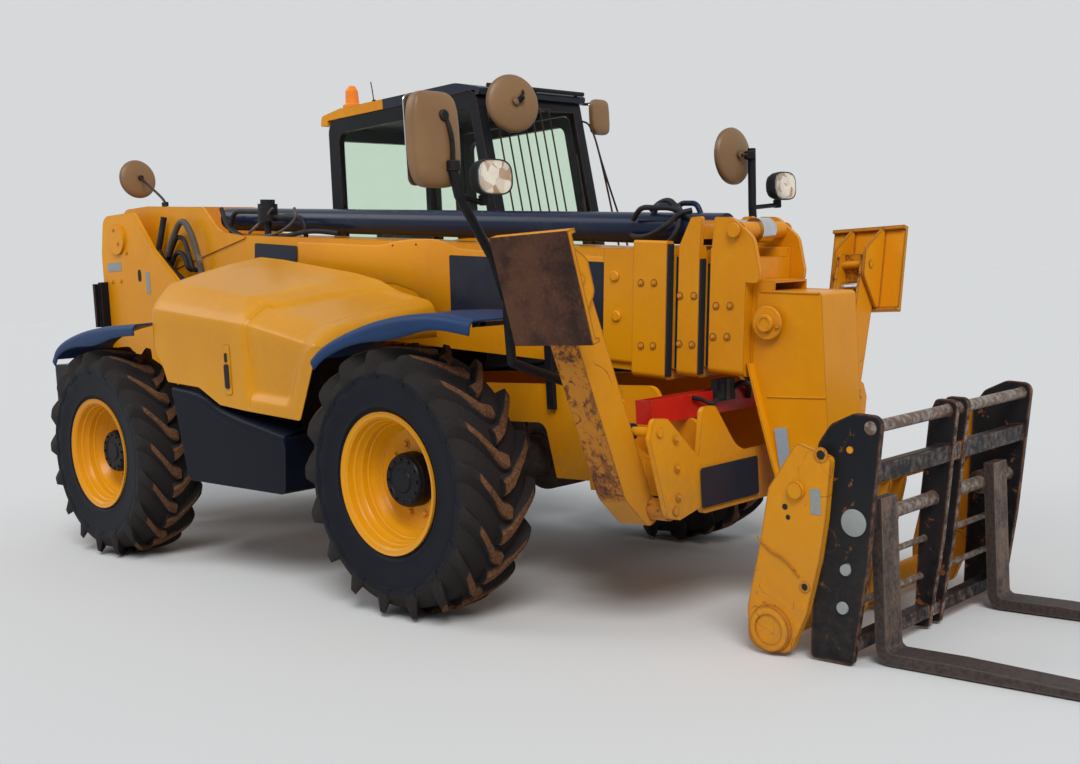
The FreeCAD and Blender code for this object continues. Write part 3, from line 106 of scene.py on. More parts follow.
class Finish:
    # builds one procedural material, node by node
    def __init__(self, name):
        self.material = bpy.data.materials.new(name)
        self.material.use_nodes = True
        self.tree = self.material.node_tree
        self.tree.nodes.clear()
        self.place = self.add("TexCoord", out="Object")

    def add(self, kind, settings=None, inputs=None, out=0):
        node = self.tree.nodes.new("ShaderNode" + kind)
        for key, value in (settings or {}).items():
            setattr(node, key, value)
        for key, value in (inputs or {}).items():
            plug(self.tree, node.inputs[key], value)
        return Wire(self.tree, node.outputs[out])

    def noise(self, scale, detail=3.0, rough=0.55, stretch=None):
        at = self.add("Mapping", None, {"Vector": self.place, "Scale": stretch}) if stretch else self.place
        return self.add("TexNoise", None, {"Vector": at, "Scale": scale, "Detail": detail, "Roughness": rough})

    def cells(self, scale, out="Distance"):
        return self.add("TexVoronoi", {"feature": "F1"}, {"Vector": self.place, "Scale": scale}, out)

    def soft(self, value, low, high):
        return self.add("MapRange", {"interpolation_type": "SMOOTHSTEP"},
            {"Value": value, "From Min": low, "From Max": high})

    def mix(self, factor, first, second):
        pair = [c if isinstance(c, Wire) else tuple(c) + (1.0,) for c in (first, second)]
        return self.add("Mix", {"data_type": "RGBA"}, {0: factor, 6: pair[0], 7: pair[1]}, 2)

    def part(self, axis):
        # one coordinate of the place, in metres
        return self.add("SeparateXYZ", None, {0: self.place}, axis)

    def facing(self, axis):
        # how far the surface looks along an axis, from -1 to 1
        return self.add("SeparateXYZ", None, {0: self.add("NewGeometry", out="Normal")}, axis)

    def edges(self, radius):
        # 0 on flats, rising to about 1 where two faces meet within the radius
        rounded = self.add("Bevel", {"samples": 3}, {"Radius": radius})
        flat = self.add("NewGeometry", out="Normal")
        dot = self.add("VectorMath", {"operation": "DOT_PRODUCT"}, {0: rounded, 1: flat}, 1)
        return self.soft(1.0 - dot, 0.01, 0.22)

    def bump(self, height, strength, distance):
        return self.add("Bump", None, {"Height": height, "Strength": strength, "Distance": distance})

    def finish(self, **sockets):
        names = {key.replace("_", " "): value for key, value in sockets.items()}
        for key, value in names.items():
            if isinstance(value, tuple) and len(value) == 3:
                names[key] = value + (1.0,)
        shader = self.add("BsdfPrincipled", None, names)
        output = self.tree.nodes.new("ShaderNodeOutputMaterial")
        self.tree.links.new(shader.socket, output.inputs["Surface"])
        return self.material


# Finishes

yellow = (0.73, 0.29, 0.002)
yellowDeep = (0.64, 0.235, 0.002)
yellowPale = (0.76, 0.36, 0.02)
rustDark = (0.085, 0.035, 0.018)
rustWarm = (0.23, 0.085, 0.028)
rustOrange = (0.36, 0.125, 0.018)
roofBlack = (0.016, 0.02, 0.034)


def enamel(name, look):
    # sprayed enamel: clouded colour, chips on the corners, streaks that run down, dust low down
    f = Finish(name)
    cloud, fine = f.noise(look["cloud"], 4.0), f.noise(look["fine"], 6.0, 0.65)
    streak = f.soft(f.noise(5.0, 5.0, 0.6, stretch=(1.0, 1.0, 0.12)), 0.52, 0.75)
    edge = f.edges(look["edge"])
    chips = f.soft(edge * 0.75 + fine * 0.75 + cloud * 0.25, look["chip"], look["chip"] + 0.1)
    spots = f.soft(f.noise(look["spot"], 8.0, 0.7), look["spotAt"], look["spotAt"] + 0.05)
    low = 1.0 - f.soft(f.part(2), look["dustLow"], look["dustHigh"])
    dirt = (low * 0.6 * f.soft(cloud * 0.6 + fine * 0.4, 0.38, 0.62) + streak * look["streak"]).clip()
    colour = f.mix(f.soft(cloud, 0.35, 0.65), look["deep"], look["base"])
    colour = f.mix(f.soft(fine, 0.45, 0.8) * 0.25, colour, look["pale"])
    colour = f.mix(dirt, colour, look["dirt"])
    if "split" in look:
        colour = f.mix(f.soft(f.part(0), look["split"] - 0.002, look["split"] + 0.002), colour, roofBlack)
    worn = chips + spots * look["rust"]
    if "flank" in look:
        # speckled rust on the faces that look sideways, thickest in clouds
        sideways = f.facing(1)
        facing = f.soft(sideways * sideways, 0.45, 0.75)
        speck = f.soft(f.noise(26.0, 9.0, 0.8) * 0.75 + f.noise(3.2, 5.0) * 0.35, look["flank"], look["flank"] + 0.06)
        colour = f.mix(facing * f.soft(cloud, 0.3, 0.7) * 0.75, colour, rustOrange)
        worn = worn + facing * speck
    if "marks" in look:
        # thin dark curves: the level lines of a noise, shown in some clouds only
        line = f.noise(look["marks"], 2.0) - 0.5
        line = line.math("ABSOLUTE", line)
        worn = worn + (1.0 - f.soft(line, 0.002, 0.007)) * f.soft(f.noise(2.6, 3.0), 0.5, 0.6) * 0.8
    worn = worn.clip()
    colour = f.mix(worn, colour, f.mix(f.soft(fine, 0.4, 0.6), rustDark, rustWarm))
    steel = 0.0
    if "shafts" in look:
        # bare steel within each shaft's radius, and on the front edges of the middle uprights
        for x, z, radius in look["shafts"]:
            aside, over = f.part(0) - x, f.part(2) - z
            steel = steel + (1.0 - f.soft(aside * aside + over * over, radius ** 2, (radius + 0.0015) ** 2))
        near = 1.0 - f.soft(f.part(1) * f.part(1), 0.004, 0.0044)
        rubbed = f.soft(f.facing(0), 0.75, 0.92) * (0.35 + 0.65 * near)
        steel = (steel * f.soft(fine * 0.5 + cloud * 0.5, 0.3, 0.5) + rubbed * f.soft(fine, 0.4, 0.62)).clip()
        bare = f.mix(f.soft(f.noise(38.0, 6.0, 0.7), 0.42, 0.62), (0.19, 0.115, 0.075), (0.37, 0.33, 0.3))
        colour = f.mix(steel * 0.85, colour, bare)
    rough = look["rough"] + 0.18 * fine + 0.3 * dirt + 0.35 * worn
    normal = f.bump(fine * 0.4 - worn * 0.8 + f.noise(420.0, 2.0) * 0.12, look["bump"], 0.0012)
    return f.finish(Base_Color=colour, Roughness=rough.clip(), Normal=normal, IOR=1.5, Metallic=steel * 0.6,
        Specular_IOR_Level=look["shine"], Coat_Weight=(look["coat"] * (1.0 - worn) * (1.0 - dirt)).clip(),
        Coat_Roughness=0.12)


bodyLook = dict(base=yellow, deep=yellowDeep, pale=yellowPale, dirt=(0.24, 0.13, 0.05), cloud=0.9, fine=24.0,
    spot=30.0, spotAt=0.71, rust=0.8, edge=0.006, chip=1.13, streak=0.1, dustLow=0.3, dustHigh=1.1, rough=0.26,
    bump=0.2, coat=0.07, shine=0.2)
# the bonnet has the body's yellow; this copy is made about a tenth darker, which is painted shade
bonnetShadedLook = dict(bodyLook, base=(0.62, 0.265, 0.004), deep=(0.545, 0.225, 0.004), pale=(0.68, 0.34, 0.02))
boomLook = dict(bodyLook, streak=0.14, spotAt=0.7, chip=1.08, dustLow=0.1, dustHigh=0.5)
hitchLook = dict(bodyLook, base=(0.63, 0.25, 0.004), spot=14.0, spotAt=0.63, rust=0.9, chip=0.93, edge=0.014,
    streak=0.3, dustLow=-0.1, dustHigh=0.7, rough=0.38, bump=0.6, coat=0.04, marks=7.0)
legLook = dict(hitchLook, marks=4.0, spotAt=0.68, edge=0.012, chip=1.0, streak=0.12, dustLow=0.2, dustHigh=1.1,
    flank=0.53)
roofLook = dict(bodyLook, split=-1.187, streak=0.05)
rimLook = dict(bodyLook, base=(0.68, 0.285, 0.002), dustLow=0.0, dustHigh=0.5, streak=0.03, spotAt=0.78)
redLook = dict(bodyLook, base=(0.72, 0.02, 0.008), deep=(0.46, 0.01, 0.006), pale=(0.74, 0.07, 0.03),
    dirt=(0.12, 0.03, 0.015), dustLow=-1.0, dustHigh=0.0, streak=0.3, coat=0.1)
blackLook = dict(bodyLook, base=(0.01, 0.011, 0.014), deep=(0.005, 0.006, 0.008), pale=(0.025, 0.024, 0.024),
    dirt=(0.06, 0.043, 0.032), rough=0.36, coat=0.03, chip=1.12, shine=0.14)
carriageLook = dict(blackLook, spot=12.0, spotAt=0.6, rust=0.75, chip=0.86, edge=0.014, streak=0.25, dustLow=-0.2,
    dustHigh=0.8, rough=0.42, bump=0.7, coat=0.03,
    shafts=[(2.495, 0.555, 0.0285), (2.57, 0.915, 0.0245), (2.453, 0.385, 0.0135), (2.43, 0.225, 0.0135)])
hubLook = dict(blackLook, base=(0.005, 0.006, 0.009), deep=(0.003, 0.003, 0.004), pale=(0.02, 0.02, 0.02),
    dustLow=-1.0, dustHigh=0.0, streak=0.0, spotAt=0.85, chip=1.3, rough=0.3)
axleLook = dict(blackLook, dirt=(0.11, 0.075, 0.05), dustLow=0.2, dustHigh=1.2, streak=0.4, rough=0.6, bump=0.9,
    coat=0.0)


def forkSteel(name):
    f = Finish(name)
    scrape = f.noise(7.0, 8.0, 0.7, stretch=(0.25, 1.6, 1.0))
    pits = f.noise(60.0, 6.0, 0.7)
    # the shank's front is rubbed bare, its sides and the blade's top stay dark
    front = f.soft(f.facing(0), 0.6, 0.9)
    bare = f.soft(scrape * 0.7 + pits * 0.3 + f.edges(0.012) * 0.5 + front * 0.14, 0.54, 0.82)
    colour = f.mix(f.soft(pits, 0.35, 0.6), (0.013, 0.012, 0.013), (0.052, 0.032, 0.024))
    colour = f.mix(bare, colour, f.mix(front, (0.17, 0.115, 0.09), (0.215, 0.135, 0.095)))
    return f.finish(Base_Color=colour, Metallic=bare * 0.7, Roughness=(0.62 - bare * 0.22 + pits * 0.1).clip(),
        Normal=f.bump(pits + scrape, 0.7, 0.002))


def rustPlate(name, hand):
    # yellow plate whose outer sole is worn to brown: the sole is where the surface faces the hand's side
    f = Finish(name)
    blotch = f.noise(5.0, 8.0, 0.65)
    grit = f.noise(70.0, 6.0, 0.7)
    sole = f.soft(f.facing(1) * hand + blotch * 0.25, 0.88, 0.98)
    worn = (sole + f.soft(blotch * 0.6 + f.edges(0.02) * 0.5 + grit * 0.2, 0.52, 0.62)).clip()
    brown = f.mix(f.soft(blotch, 0.35, 0.65), (0.03, 0.013, 0.01), (0.098, 0.04, 0.022))
    brown = f.mix(f.soft(grit, 0.52, 0.75) * 0.5, brown, (0.19, 0.095, 0.05))
    paint = f.mix(blotch, yellowDeep, yellow)
    return f.finish(Base_Color=f.mix(worn, paint, brown), Roughness=(0.45 + worn * 0.3 + grit * 0.1).clip(),
        Specular_IOR_Level=0.2, Normal=f.bump(grit + blotch, 0.8, 0.003))


def plastic(name, look):
    # moulded cover: fine grain, dust in clouds, and edges tinted with painted light: light blue edges are a painted sky
    # highlight, dark edges painted shade
    f = Finish(name)
    cloud = f.noise(2.2, 5.0, 0.6)
    grain = f.cells(look["grain"])
    low = 1.0 - f.soft(f.part(2), look["dustLow"], look["dustHigh"])
    dust = f.soft(cloud + low * 0.35, 0.55, 0.95) * look["dust"]
    colour = f.mix(cloud, look["deep"], look["base"])
    colour = f.mix(dust, colour, look["dustColour"])
    colour = f.mix(f.edges(look["edge"]) * look["edgeWeight"], colour, look["edgeWearAndPaintedLight"])
    return f.finish(Base_Color=colour, Roughness=(look["rough"] + dust * 0.3 + cloud * 0.1).clip(),
        Normal=f.bump(grain, look["bump"], 0.0006), IOR=1.5, Specular_IOR_Level=look["shine"],
        Coat_Weight=(look["coat"] * (1.0 - dust)).clip(), Coat_Roughness=0.2)


# the navy tint of the cover's base and deep colours is a painted sky reflection on black plastic, and the light blue
# edge colour a painted sky highlight
coverLook = dict(base=(0.004, 0.006, 0.014), deep=(0.002, 0.003, 0.008), dustColour=(0.018, 0.016, 0.018),
    edgeWearAndPaintedLight=(0.06, 0.08, 0.13), grain=900.0, bump=0.25, rough=0.34, dust=0.15, dustLow=0.3, dustHigh=1.2,
    edge=0.006, edgeWeight=0.35, coat=0.02, shine=0.08)
# the mudguards are black plastic: the blue of their base and deep colours is a painted sky reflection
guardSkySheenLook = dict(coverLook, base=(0.02, 0.055, 0.15), deep=(0.01, 0.024, 0.065), rough=0.3, dust=0.1,
    dustLow=0.8, dustHigh=1.2)
# the mirror housings are black plastic: their brown base and deep colours are a painted warm reflection, their tan dust
# clouds partly dust and partly painted sheen, and their dark edges painted shade
mirrorWarmSheenLook = dict(coverLook, base=(0.29, 0.155, 0.064), deep=(0.15, 0.082, 0.035), dustColour=(0.3, 0.18, 0.08),
    edgeWearAndPaintedLight=(0.03, 0.021, 0.016), edge=0.034, edgeWeight=0.85, rough=0.36, dust=0.3, dustLow=1.2, dustHigh=2.2, coat=0.08,
    shine=0.3)
interiorLook = dict(coverLook, base=(0.03, 0.031, 0.034), deep=(0.018, 0.018, 0.02), rough=0.55, coat=0.0, dust=0.2)


def tyreRubber(name):
    # attribute tread is 0 on the sidewall and 1 on the running faces of the lugs
    f = Finish(name)
    tread = f.add("Attribute", {"attribute_name": "tread"}, out="Fac")
    cloud = f.noise(6.0, 6.0, 0.65)
    grit = f.noise(90.0, 5.0, 0.7)
    shoulder = f.add("Attribute", {"attribute_name": "shoulder"}, out="Fac")
    clay = f.soft(tread + cloud * 0.5, 0.85, 1.15)
    film = f.soft(shoulder + cloud * 0.5, 0.62, 1.05)
    colour = f.mix(cloud, (0.004, 0.005, 0.008), (0.01, 0.012, 0.018))
    colour = f.mix(film * 0.8, colour, f.mix(grit, (0.012, 0.01, 0.01), (0.04, 0.031, 0.028)))
    mud = f.mix(f.soft(grit + cloud * 0.4, 0.5, 0.9), (0.075, 0.034, 0.016), (0.2, 0.095, 0.048))
    colour = f.mix(clay * 0.9, colour, mud)
    return f.finish(Base_Color=colour, Roughness=(0.45 + film * 0.25 + clay * 0.25 + grit * 0.1).clip(),
        Specular_IOR_Level=0.1, Normal=f.bump(grit * 0.6 + cloud * 0.7, 0.6, 0.003))


def glassPane(name):
    f = Finish(name)
    film = f.noise(3.0, 6.0, 0.6)
    dust = f.soft(f.noise(160.0, 3.0), 0.62, 0.75) * 0.15
    return f.finish(Base_Color=f.mix(dust, (0.88, 0.975, 0.875), (0.74, 0.78, 0.7)),
        Roughness=(0.02 + f.soft(film, 0.45, 0.8) * 0.05 + dust * 0.3).clip(), Transmission_Weight=1.0, IOR=1.12)


def clearLens(name, tint):
    f = Finish(name)
    ribs = f.add("TexWave", {"wave_type": "BANDS", "bands_direction": "Y"}, {"Vector": f.place, "Scale": 28.0})
    haze = f.noise(30.0, 4.0)
    return f.finish(Base_Color=f.mix(haze, tint, tuple(c * 0.85 for c in tint)),
        Roughness=(0.04 + haze * 0.08).clip(), Transmission_Weight=0.92, IOR=1.35, Normal=f.bump(ribs, 0.25, 0.001))


def paintedLampGlint(name):
    # pressed facets: each cell of the pattern is coloured with its own share of a warm light, a painted reflection, and
    # a faint emission of the same colour adds a painted glow
    f = Finish(name)
    cell = f.add("SeparateXYZ", None, {0: f.cells(24.0, out="Color")}, 0)
    colour = f.mix(f.soft(cell, 0.1, 0.75), (0.5, 0.25, 0.1), (1.0, 0.94, 0.84))
    return f.finish(Base_Color=colour, Roughness=(0.1 + cell * 0.1).clip(), Metallic=1.0, Emission_Color=colour,
        Emission_Strength=0.24, Normal=f.bump(cell, 0.3, 0.001))


def gloss(name, base, rough=0.15, metal=0.0, fleck=30.0, shine=0.4):
    f = Finish(name)
    tone = f.noise(fleck, 5.0, 0.6)
    dust = f.soft(f.noise(3.0, 5.0), 0.5, 0.8) * 0.2
    colour = f.mix(tone, tuple(c * 0.82 for c in base), tuple(min(1.0, c * 1.12) for c in base))
    colour = f.mix(dust, colour, tuple(0.6 * c + 0.06 for c in base))
    return f.finish(Base_Color=colour, Roughness=(rough + dust * 0.8 + tone * 0.06).clip(), Metallic=metal,
        Specular_IOR_Level=shine, Normal=f.bump(tone, 0.08, 0.001))


def hoseRubber(name, base, dusty):
    f = Finish(name)
    weave = f.cells(520.0)
    dust = f.soft(f.noise(9.0, 5.0), 0.5, 0.75)
    return f.finish(Base_Color=f.mix(dust * 0.7, base, dusty), Specular_IOR_Level=0.2,
        Roughness=(0.5 + dust * 0.3).clip(), Normal=f.bump(weave, 0.4, 0.0008))


def wovenCloth(name, base):
    # warp and weft bands of the seat cloth, read from the piece's own UV map
    f = Finish(name)
    at = f.add("UVMap", {"uv_map": "cloth"}, out="UV")
    warp = f.add("TexWave", {"bands_direction": "X"}, {"Vector": at, "Scale": 90.0, "Distortion": 0.6})
    weft = f.add("TexWave", {"bands_direction": "Y"}, {"Vector": at, "Scale": 90.0, "Distortion": 0.6})
    worn = f.soft(f.noise(6.0, 5.0), 0.45, 0.75)
    colour = f.mix(warp * 0.5 + weft * 0.3, tuple(c * 0.55 for c in base), base)
    colour = f.mix(worn * 0.35, colour, tuple(0.5 * c + 0.07 for c in base))
    return f.finish(Base_Color=colour, Roughness=0.88 - worn * 0.12, Sheen_Weight=0.35, Sheen_Roughness=0.5,
        Normal=f.bump(warp + weft, 0.5, 0.0008))


enamels = dict(bonnet=("bonnetShadedEnamel", bonnetShadedLook), body=("bodyEnamel", bodyLook), boom=("boomEnamel", boomLook),
    leg=("legEnamel", legLook), hitch=("hitchEnamel", hitchLook), rim=("rimEnamel", rimLook),
    roof=("roofEnamel", roofLook), red=("strutRed", redLook), black=("frameBlack", blackLook),
    carriage=("carriageBlack", carriageLook), axle=("axleBlack", axleLook), hub=("hubBlack", hubLook))
plastics = dict(cover=("coverPlastic", coverLook), guard=("mudguardPlastic", guardSkySheenLook),
    mirror=("mirrorHousing", mirrorWarmSheenLook), interior=("cabPlastic", interiorLook))
glosses = dict(
    tailLens=dict(name="tailLens", base=(0.5, 0.018, 0.014), rough=0.12, fleck=60.0),
    amber=dict(name="amberDome", base=(0.85, 0.23, 0.012), rough=0.12, fleck=18.0),
    chrome=dict(name="chromeRod", base=(0.62, 0.63, 0.65), rough=0.1, metal=1.0),
    ram=dict(name="ramBlack", base=(0.01, 0.017, 0.042), rough=0.2, fleck=8.0, shine=0.16),
    steel=dict(name="zincBolt", base=(0.42, 0.4, 0.36), rough=0.38, metal=0.85),
    silver=dict(name="mirrorFace", base=(0.78, 0.8, 0.82), rough=0.04, metal=1.0),
    panel=dict(name="darkPanel", base=(0.018, 0.022, 0.036), rough=0.22, fleck=12.0, shine=0.15),
    grey=dict(name="greyPaint", base=(0.27, 0.29, 0.28), rough=0.4, shine=0.2),
    strip=dict(name="stripGrey", base=(0.3, 0.37, 0.44), rough=0.35, shine=0.2))
finishes = dict(fork=forkSteel("forkSteel"), padRight=rustPlate("padRustRight", -1.0),
    padLeft=rustPlate("padRustLeft", 1.0), tyre=tyreRubber("tyreRubber"), glass=glassPane("tintedGlass"),
    lens=clearLens("clearLens", (0.98, 0.96, 0.91)), reflector=paintedLampGlint("lampReflector"),
    hose=hoseRubber("hoseRubber", (0.013, 0.013, 0.016), (0.075, 0.062, 0.05)),
    paleHose=hoseRubber("hoseWorn", (0.085, 0.075, 0.062), (0.34, 0.28, 0.22)),
    cloth=wovenCloth("seatCloth", (0.05, 0.052, 0.06)))
finishes.update({key: enamel(*item) for key, item in enamels.items()})
finishes.update({key: plastic(*item) for key, item in plastics.items()})
finishes.update({key: gloss(**item) for key, item in glosses.items()})
print("finishes made:", len(finishes))


# Shape tools: every shape is a grid of points worked out as whole arrays

def unit(vectors):
    return vectors / np.maximum(np.linalg.norm(vectors, axis=-1, keepdims=True), 1e-12)


def gridFaces(rows, columns, closeRows, closeColumns):
    i = np.arange(rows if closeRows else rows - 1)[:, None]
    j = np.arange(columns if closeColumns else columns - 1)[None]
    down, right = (i + 1) % rows, (j + 1) % columns
    corners = [i * columns + j, i * columns + right, down * columns + right, down * columns + j]
    return np.stack(np.broadcast_arrays(*corners), -1).reshape(-1, 4)


def skin(points, closeRows=False, closeColumns=True):
    # grid to vertices and faces; the open ends of a ring grid are closed with a fan round their middle
    rows, columns = points.shape[:2]
    vertices = points.reshape(-1, 3)
    faces = [gridFaces(rows, columns, closeRows, closeColumns)]
    if closeColumns and not closeRows:
        ring, last = np.arange(columns), len(vertices)
        vertices = np.vstack([vertices, points[0].mean(0), points[-1].mean(0)])
        faces.append(np.stack([np.roll(ring, -1), ring, np.full(columns, last)], -1))
        ring = ring + (rows - 1) * columns
        faces.append(np.stack([ring, np.roll(ring, -1), np.full(columns, last + 1)], -1))
    return vertices, faces


def together(parts):
    counts = np.cumsum([0] + [len(p[0]) for p in parts])
    return np.vstack([p[0] for p in parts]), [f + base for p, base in zip(parts, counts) for f in p[1]]


def both(part):
    # the part and its mirror image on the machine's other side
    return together([part, (part[0] * np.array([1.0, -1.0, 1.0]), [f[:, ::-1] for f in part[1]])])


def put(name, part, finish, body, hides=(), smooth=32.0, bevel=0.0, outward=None):
    # a piece from a part, with its finish, the body it rides on and the nodes that it replaces
    mesh = bpy.data.meshes.new(name)
    mesh.from_pydata(part[0].tolist(), [], [f for group in part[1] for f in group.tolist()])
    work = bmesh.new()
    work.from_mesh(mesh)
    bmesh.ops.remove_doubles(work, verts=work.verts, dist=2e-5)
    bmesh.ops.recalc_face_normals(work, faces=work.faces)
    work.to_mesh(mesh)
    work.free()
    if outward is not None:
        # an open sheet is turned to face away from this point
        normals = np.zeros(len(mesh.polygons) * 3)
        centres = np.zeros(len(mesh.polygons) * 3)
        mesh.polygons.foreach_get("normal", normals)
        mesh.polygons.foreach_get("center", centres)
        if (normals.reshape(-1, 3) * (centres.reshape(-1, 3) - outward)).sum() < 0:
            mesh.flip_normals()
    mesh.shade_smooth()
    mesh.set_sharp_from_angle(angle=math.radians(smooth))
    mesh.materials.append(finishes[finish])
    piece = bpy.data.objects.new(name, mesh)
    bpy.context.scene.collection.objects.link(piece)
    if bevel:
        rounded = piece.modifiers.new("rounded", "BEVEL")
        rounded.width, rounded.segments, rounded.limit_method = bevel, 2, "ANGLE"
    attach(piece, body)
    if hides:
        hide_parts(*hides)
    return piece


def lathe(profile, centre, axis, segments, closed=False, power=2.0, stretch=(1.0, 1.0), side=None):
    # profile of (along the axis, radius) turned round the axis; power above 2 squares the circle
    profile, axis = np.array(profile, float), unit(np.array(axis, float))
    side = unit(np.cross(axis, [0.31, 0.17, 0.94])) if side is None else unit(np.array(side, float))
    other = np.cross(axis, side)
    turn = np.linspace(0, 2 * np.pi, segments, endpoint=False)
    c, s = np.cos(turn), np.sin(turn)
    ring = (np.sign(c) * np.abs(c) ** (2 / power) * stretch[0])[:, None] * side \
        + (np.sign(s) * np.abs(s) ** (2 / power) * stretch[1])[:, None] * other
    points = np.array(centre, float) + profile[:, None, :1] * axis + profile[:, None, 1:] * ring
    return skin(points, closeRows=closed)


def smoothLine(points, rounds=3):
    # corner cutting: each run gives way to its points at a quarter and three quarters, the ends stay
    line = np.array(points, float)
    for _ in range(rounds):
        cut = np.empty((2 * len(line) - 2, line.shape[1]))
        cut[0::2] = line[:-1] * 0.75 + line[1:] * 0.25
        cut[1::2] = line[:-1] * 0.25 + line[1:] * 0.75
        line = np.vstack([line[:1], cut, line[-1:]])
    return line


def tube(points, radius, up=(0, 0, 1), sides=12, rounds=3):
    # a circle carried along a line, square to its run
    path = smoothLine(points, rounds)
    along = unit(np.gradient(path, axis=0))
    across = unit(np.cross(along, np.array(up, float)))
    lift = np.cross(across, along)
    turn = np.linspace(0, 2 * np.pi, sides, endpoint=False)
    ring = radius * np.stack([np.cos(turn), np.sin(turn)], -1)
    return skin(path[:, None] + ring[None, :, :1] * across[:, None] + ring[None, :, 1:] * lift[:, None])


def roundRect(width, height, radius):
    # outline of a rectangle with quarter circles at its corners, about its middle
    turn = np.linspace(0, np.pi / 2, 6)
    quarter = np.arange(4)[:, None] * np.pi / 2 + turn[None]
    corner = np.array([[1, 1], [-1, 1], [-1, -1], [1, -1]]) * (np.array([width, height]) / 2 - radius)
    return (corner[:, None] + radius * np.stack([np.cos(quarter), np.sin(quarter)], -1)).reshape(-1, 2)


def plaque(outline, origin, a, b, thick, edge):
    # a plate from an outline in the plane of a and b, with its two rims drawn in by the edge
    outline, a, b = np.array(outline, float), unit(np.array(a, float)), unit(np.array(b, float))
    normal = np.cross(a, b)
    inward = unit(outline.mean(0) - outline)
    depth = np.array([0, edge, thick - edge, thick])
    inset = np.array([edge, 0, 0, edge])
    flat = outline[None] + inset[:, None, None] * inward[None]
    return skin(np.array(origin, float) + flat[..., :1] * a + flat[..., 1:] * b + depth[:, None, None] * normal)


def pillow(centre, size, power, crown, steps):
    # superellipsoid: a ball whose circles are squared by the power
    rise = np.linspace(-np.pi / 2, np.pi / 2, steps[0])[:, None]
    turn = np.linspace(0, 2 * np.pi, steps[1], endpoint=False)[None]
    squash = lambda v, p: np.sign(v) * np.abs(v) ** (2 / p)
    x = squash(np.cos(rise), power) * squash(np.cos(turn), power)
    y = squash(np.cos(rise), power) * squash(np.sin(turn), power)
    z = squash(np.sin(rise), power * crown) * np.ones_like(turn)
    points = np.stack([x * size[0], y * size[1], z * size[2]], -1) / 2
    return skin(points + np.array(centre, float))


def repeated(part, places):
    # the same small shape at many places
    places = np.array(places, float)
    vertices, faces = part
    shift = np.arange(len(places)) * len(vertices)
    return ((vertices[None] + places[:, None]).reshape(-1, 3),
        [(f[None] + shift[:, None, None]).reshape(-1, f.shape[1]) for f in faces])


def bolts(places, axis, size, washer=1.6):
    # hexagon heads with a chamfer on round washers
    head = lathe([(0, size * 0.9), (size * 0.75, size * 0.9), (size * 0.95, size * 0.7)], (0, 0, 0), axis, 6)
    disc = lathe([(0, size * washer), (size * 0.16, size * washer)], (0, 0, 0), axis, 14)
    return together([repeated(head, places), repeated(disc, places)])


def boxPart(low, high):
    low, high = np.array(low, float), np.array(high, float)
    corner = np.array([[0, 0], [1, 0], [1, 1], [0, 1]])
    ring = low[:2] + corner * (high - low)[:2]
    return skin(np.stack([np.column_stack([ring, np.full(4, z)]) for z in (low[2], high[2])]))


def sidePlate(place, width, height, radius, thick, edge):
    # rounded plate whose face looks to the machine's right
    return plaque(roundRect(width, height, radius), place, (1, 0, 0), (0, 0, 1), thick, edge)


def carried(line, ring):
    # an outline of offsets carried along a line given by its x and z
    return skin(np.insert(line, 1, 0.0, axis=1)[:, None] + np.array(ring, float)[None])


def boomPoint(along, y, above):
    # a place measured along the boom from its pivot, across, and square to the boom
    along, y, above = np.broadcast_arrays(*(np.array(v, float) for v in (along, y, above)))
    c, s = math.cos(boomSlope), math.sin(boomSlope)
    return boomPivot + np.stack([along * c + above * s, y, above * c - along * s], -1)


# Tyres, rims and hubs

tyreShape = dict(lugs=17, crown=0.596, top=0.6345, half=0.1925, twist=0.36, lugTop=0.058, lugBase=0.094)


def tyrePart(place, shape):
    # carcass: a smooth closed profile turned round the axle; lugs: bars carried from the crown's middle
    # over the shoulder, each turned forward in proportion to how far out it is
    centre = np.array(place)
    half, crown = shape["half"], shape["crown"]
    right = [(0.0, crown), (0.085, crown - 0.002), (0.135, crown - 0.012), (0.166, crown - 0.032),
        (half - 0.008, 0.535), (half - 0.001, 0.508), (half - 0.007, 0.496), (half - 0.006, 0.465),
        (half - 0.012, 0.42), (0.176, 0.372), (0.178, 0.356), (0.168, 0.35), (0.163, 0.33), (0.16, 0.307)]
    whole = np.array([(-y, r) for y, r in right[:0:-1]] + right)
    profile = np.vstack([smoothLine(whole, 2), [[0.16, 0.306], [-0.16, 0.306]]])
    carcass = lathe(profile, centre, (0, 1, 0), 128, closed=True)
    # the lug's middle line as (across, top radius, foot radius)
    top = shape["top"]
    path = smoothLine([(-0.02, top, 0.584), (0.05, top, 0.584), (0.12, top - 0.003, 0.576),
        (0.16, top - 0.008, 0.562), (0.184, 0.612, 0.54), (0.1925, 0.575, 0.51),
        (0.1945, 0.54, 0.49), (0.1925, 0.5, 0.484)], 1)
    along = np.linspace(0, 1, len(path))
    spread = np.interp(path[:, 0], [-0.016, 0.03, 0.19], [0.0, 0.035, shape["twist"]])
    profileSide = np.array([-0.5, -0.4, -0.34, 0.34, 0.4, 0.5])
    rise = np.array([0.0, 0.86, 1.0, 1.0, 0.86, 0.0])
    width = np.where(rise > 0.5, shape["lugTop"], shape["lugBase"])
    radius = path[:, 2:3] + (path[:, 1:2] - path[:, 2:3]) * rise
    knob = 1.0 + 0.3 * np.exp(-((path[:, 0:1] + 0.002) / 0.026) ** 2)
    angle = spread[:, None] + profileSide * width * knob / radius
    lateral = path[:, 0:1] - 0.006 * (1 - rise) * along[:, None]
    number = shape["lugs"]
    lugs = []
    for hand in (1.0, -1.0):
        start = 2 * np.pi * (np.arange(number) + (0.5 if hand < 0 else 0.0)) / number
        theta = start[:, None, None] + angle[None]
        points = np.stack(np.broadcast_arrays(radius * np.cos(theta), hand * lateral, radius * np.sin(theta)), -1)
        lugs += [skin(one + centre) for one in points]
    return together([carcass] + lugs)


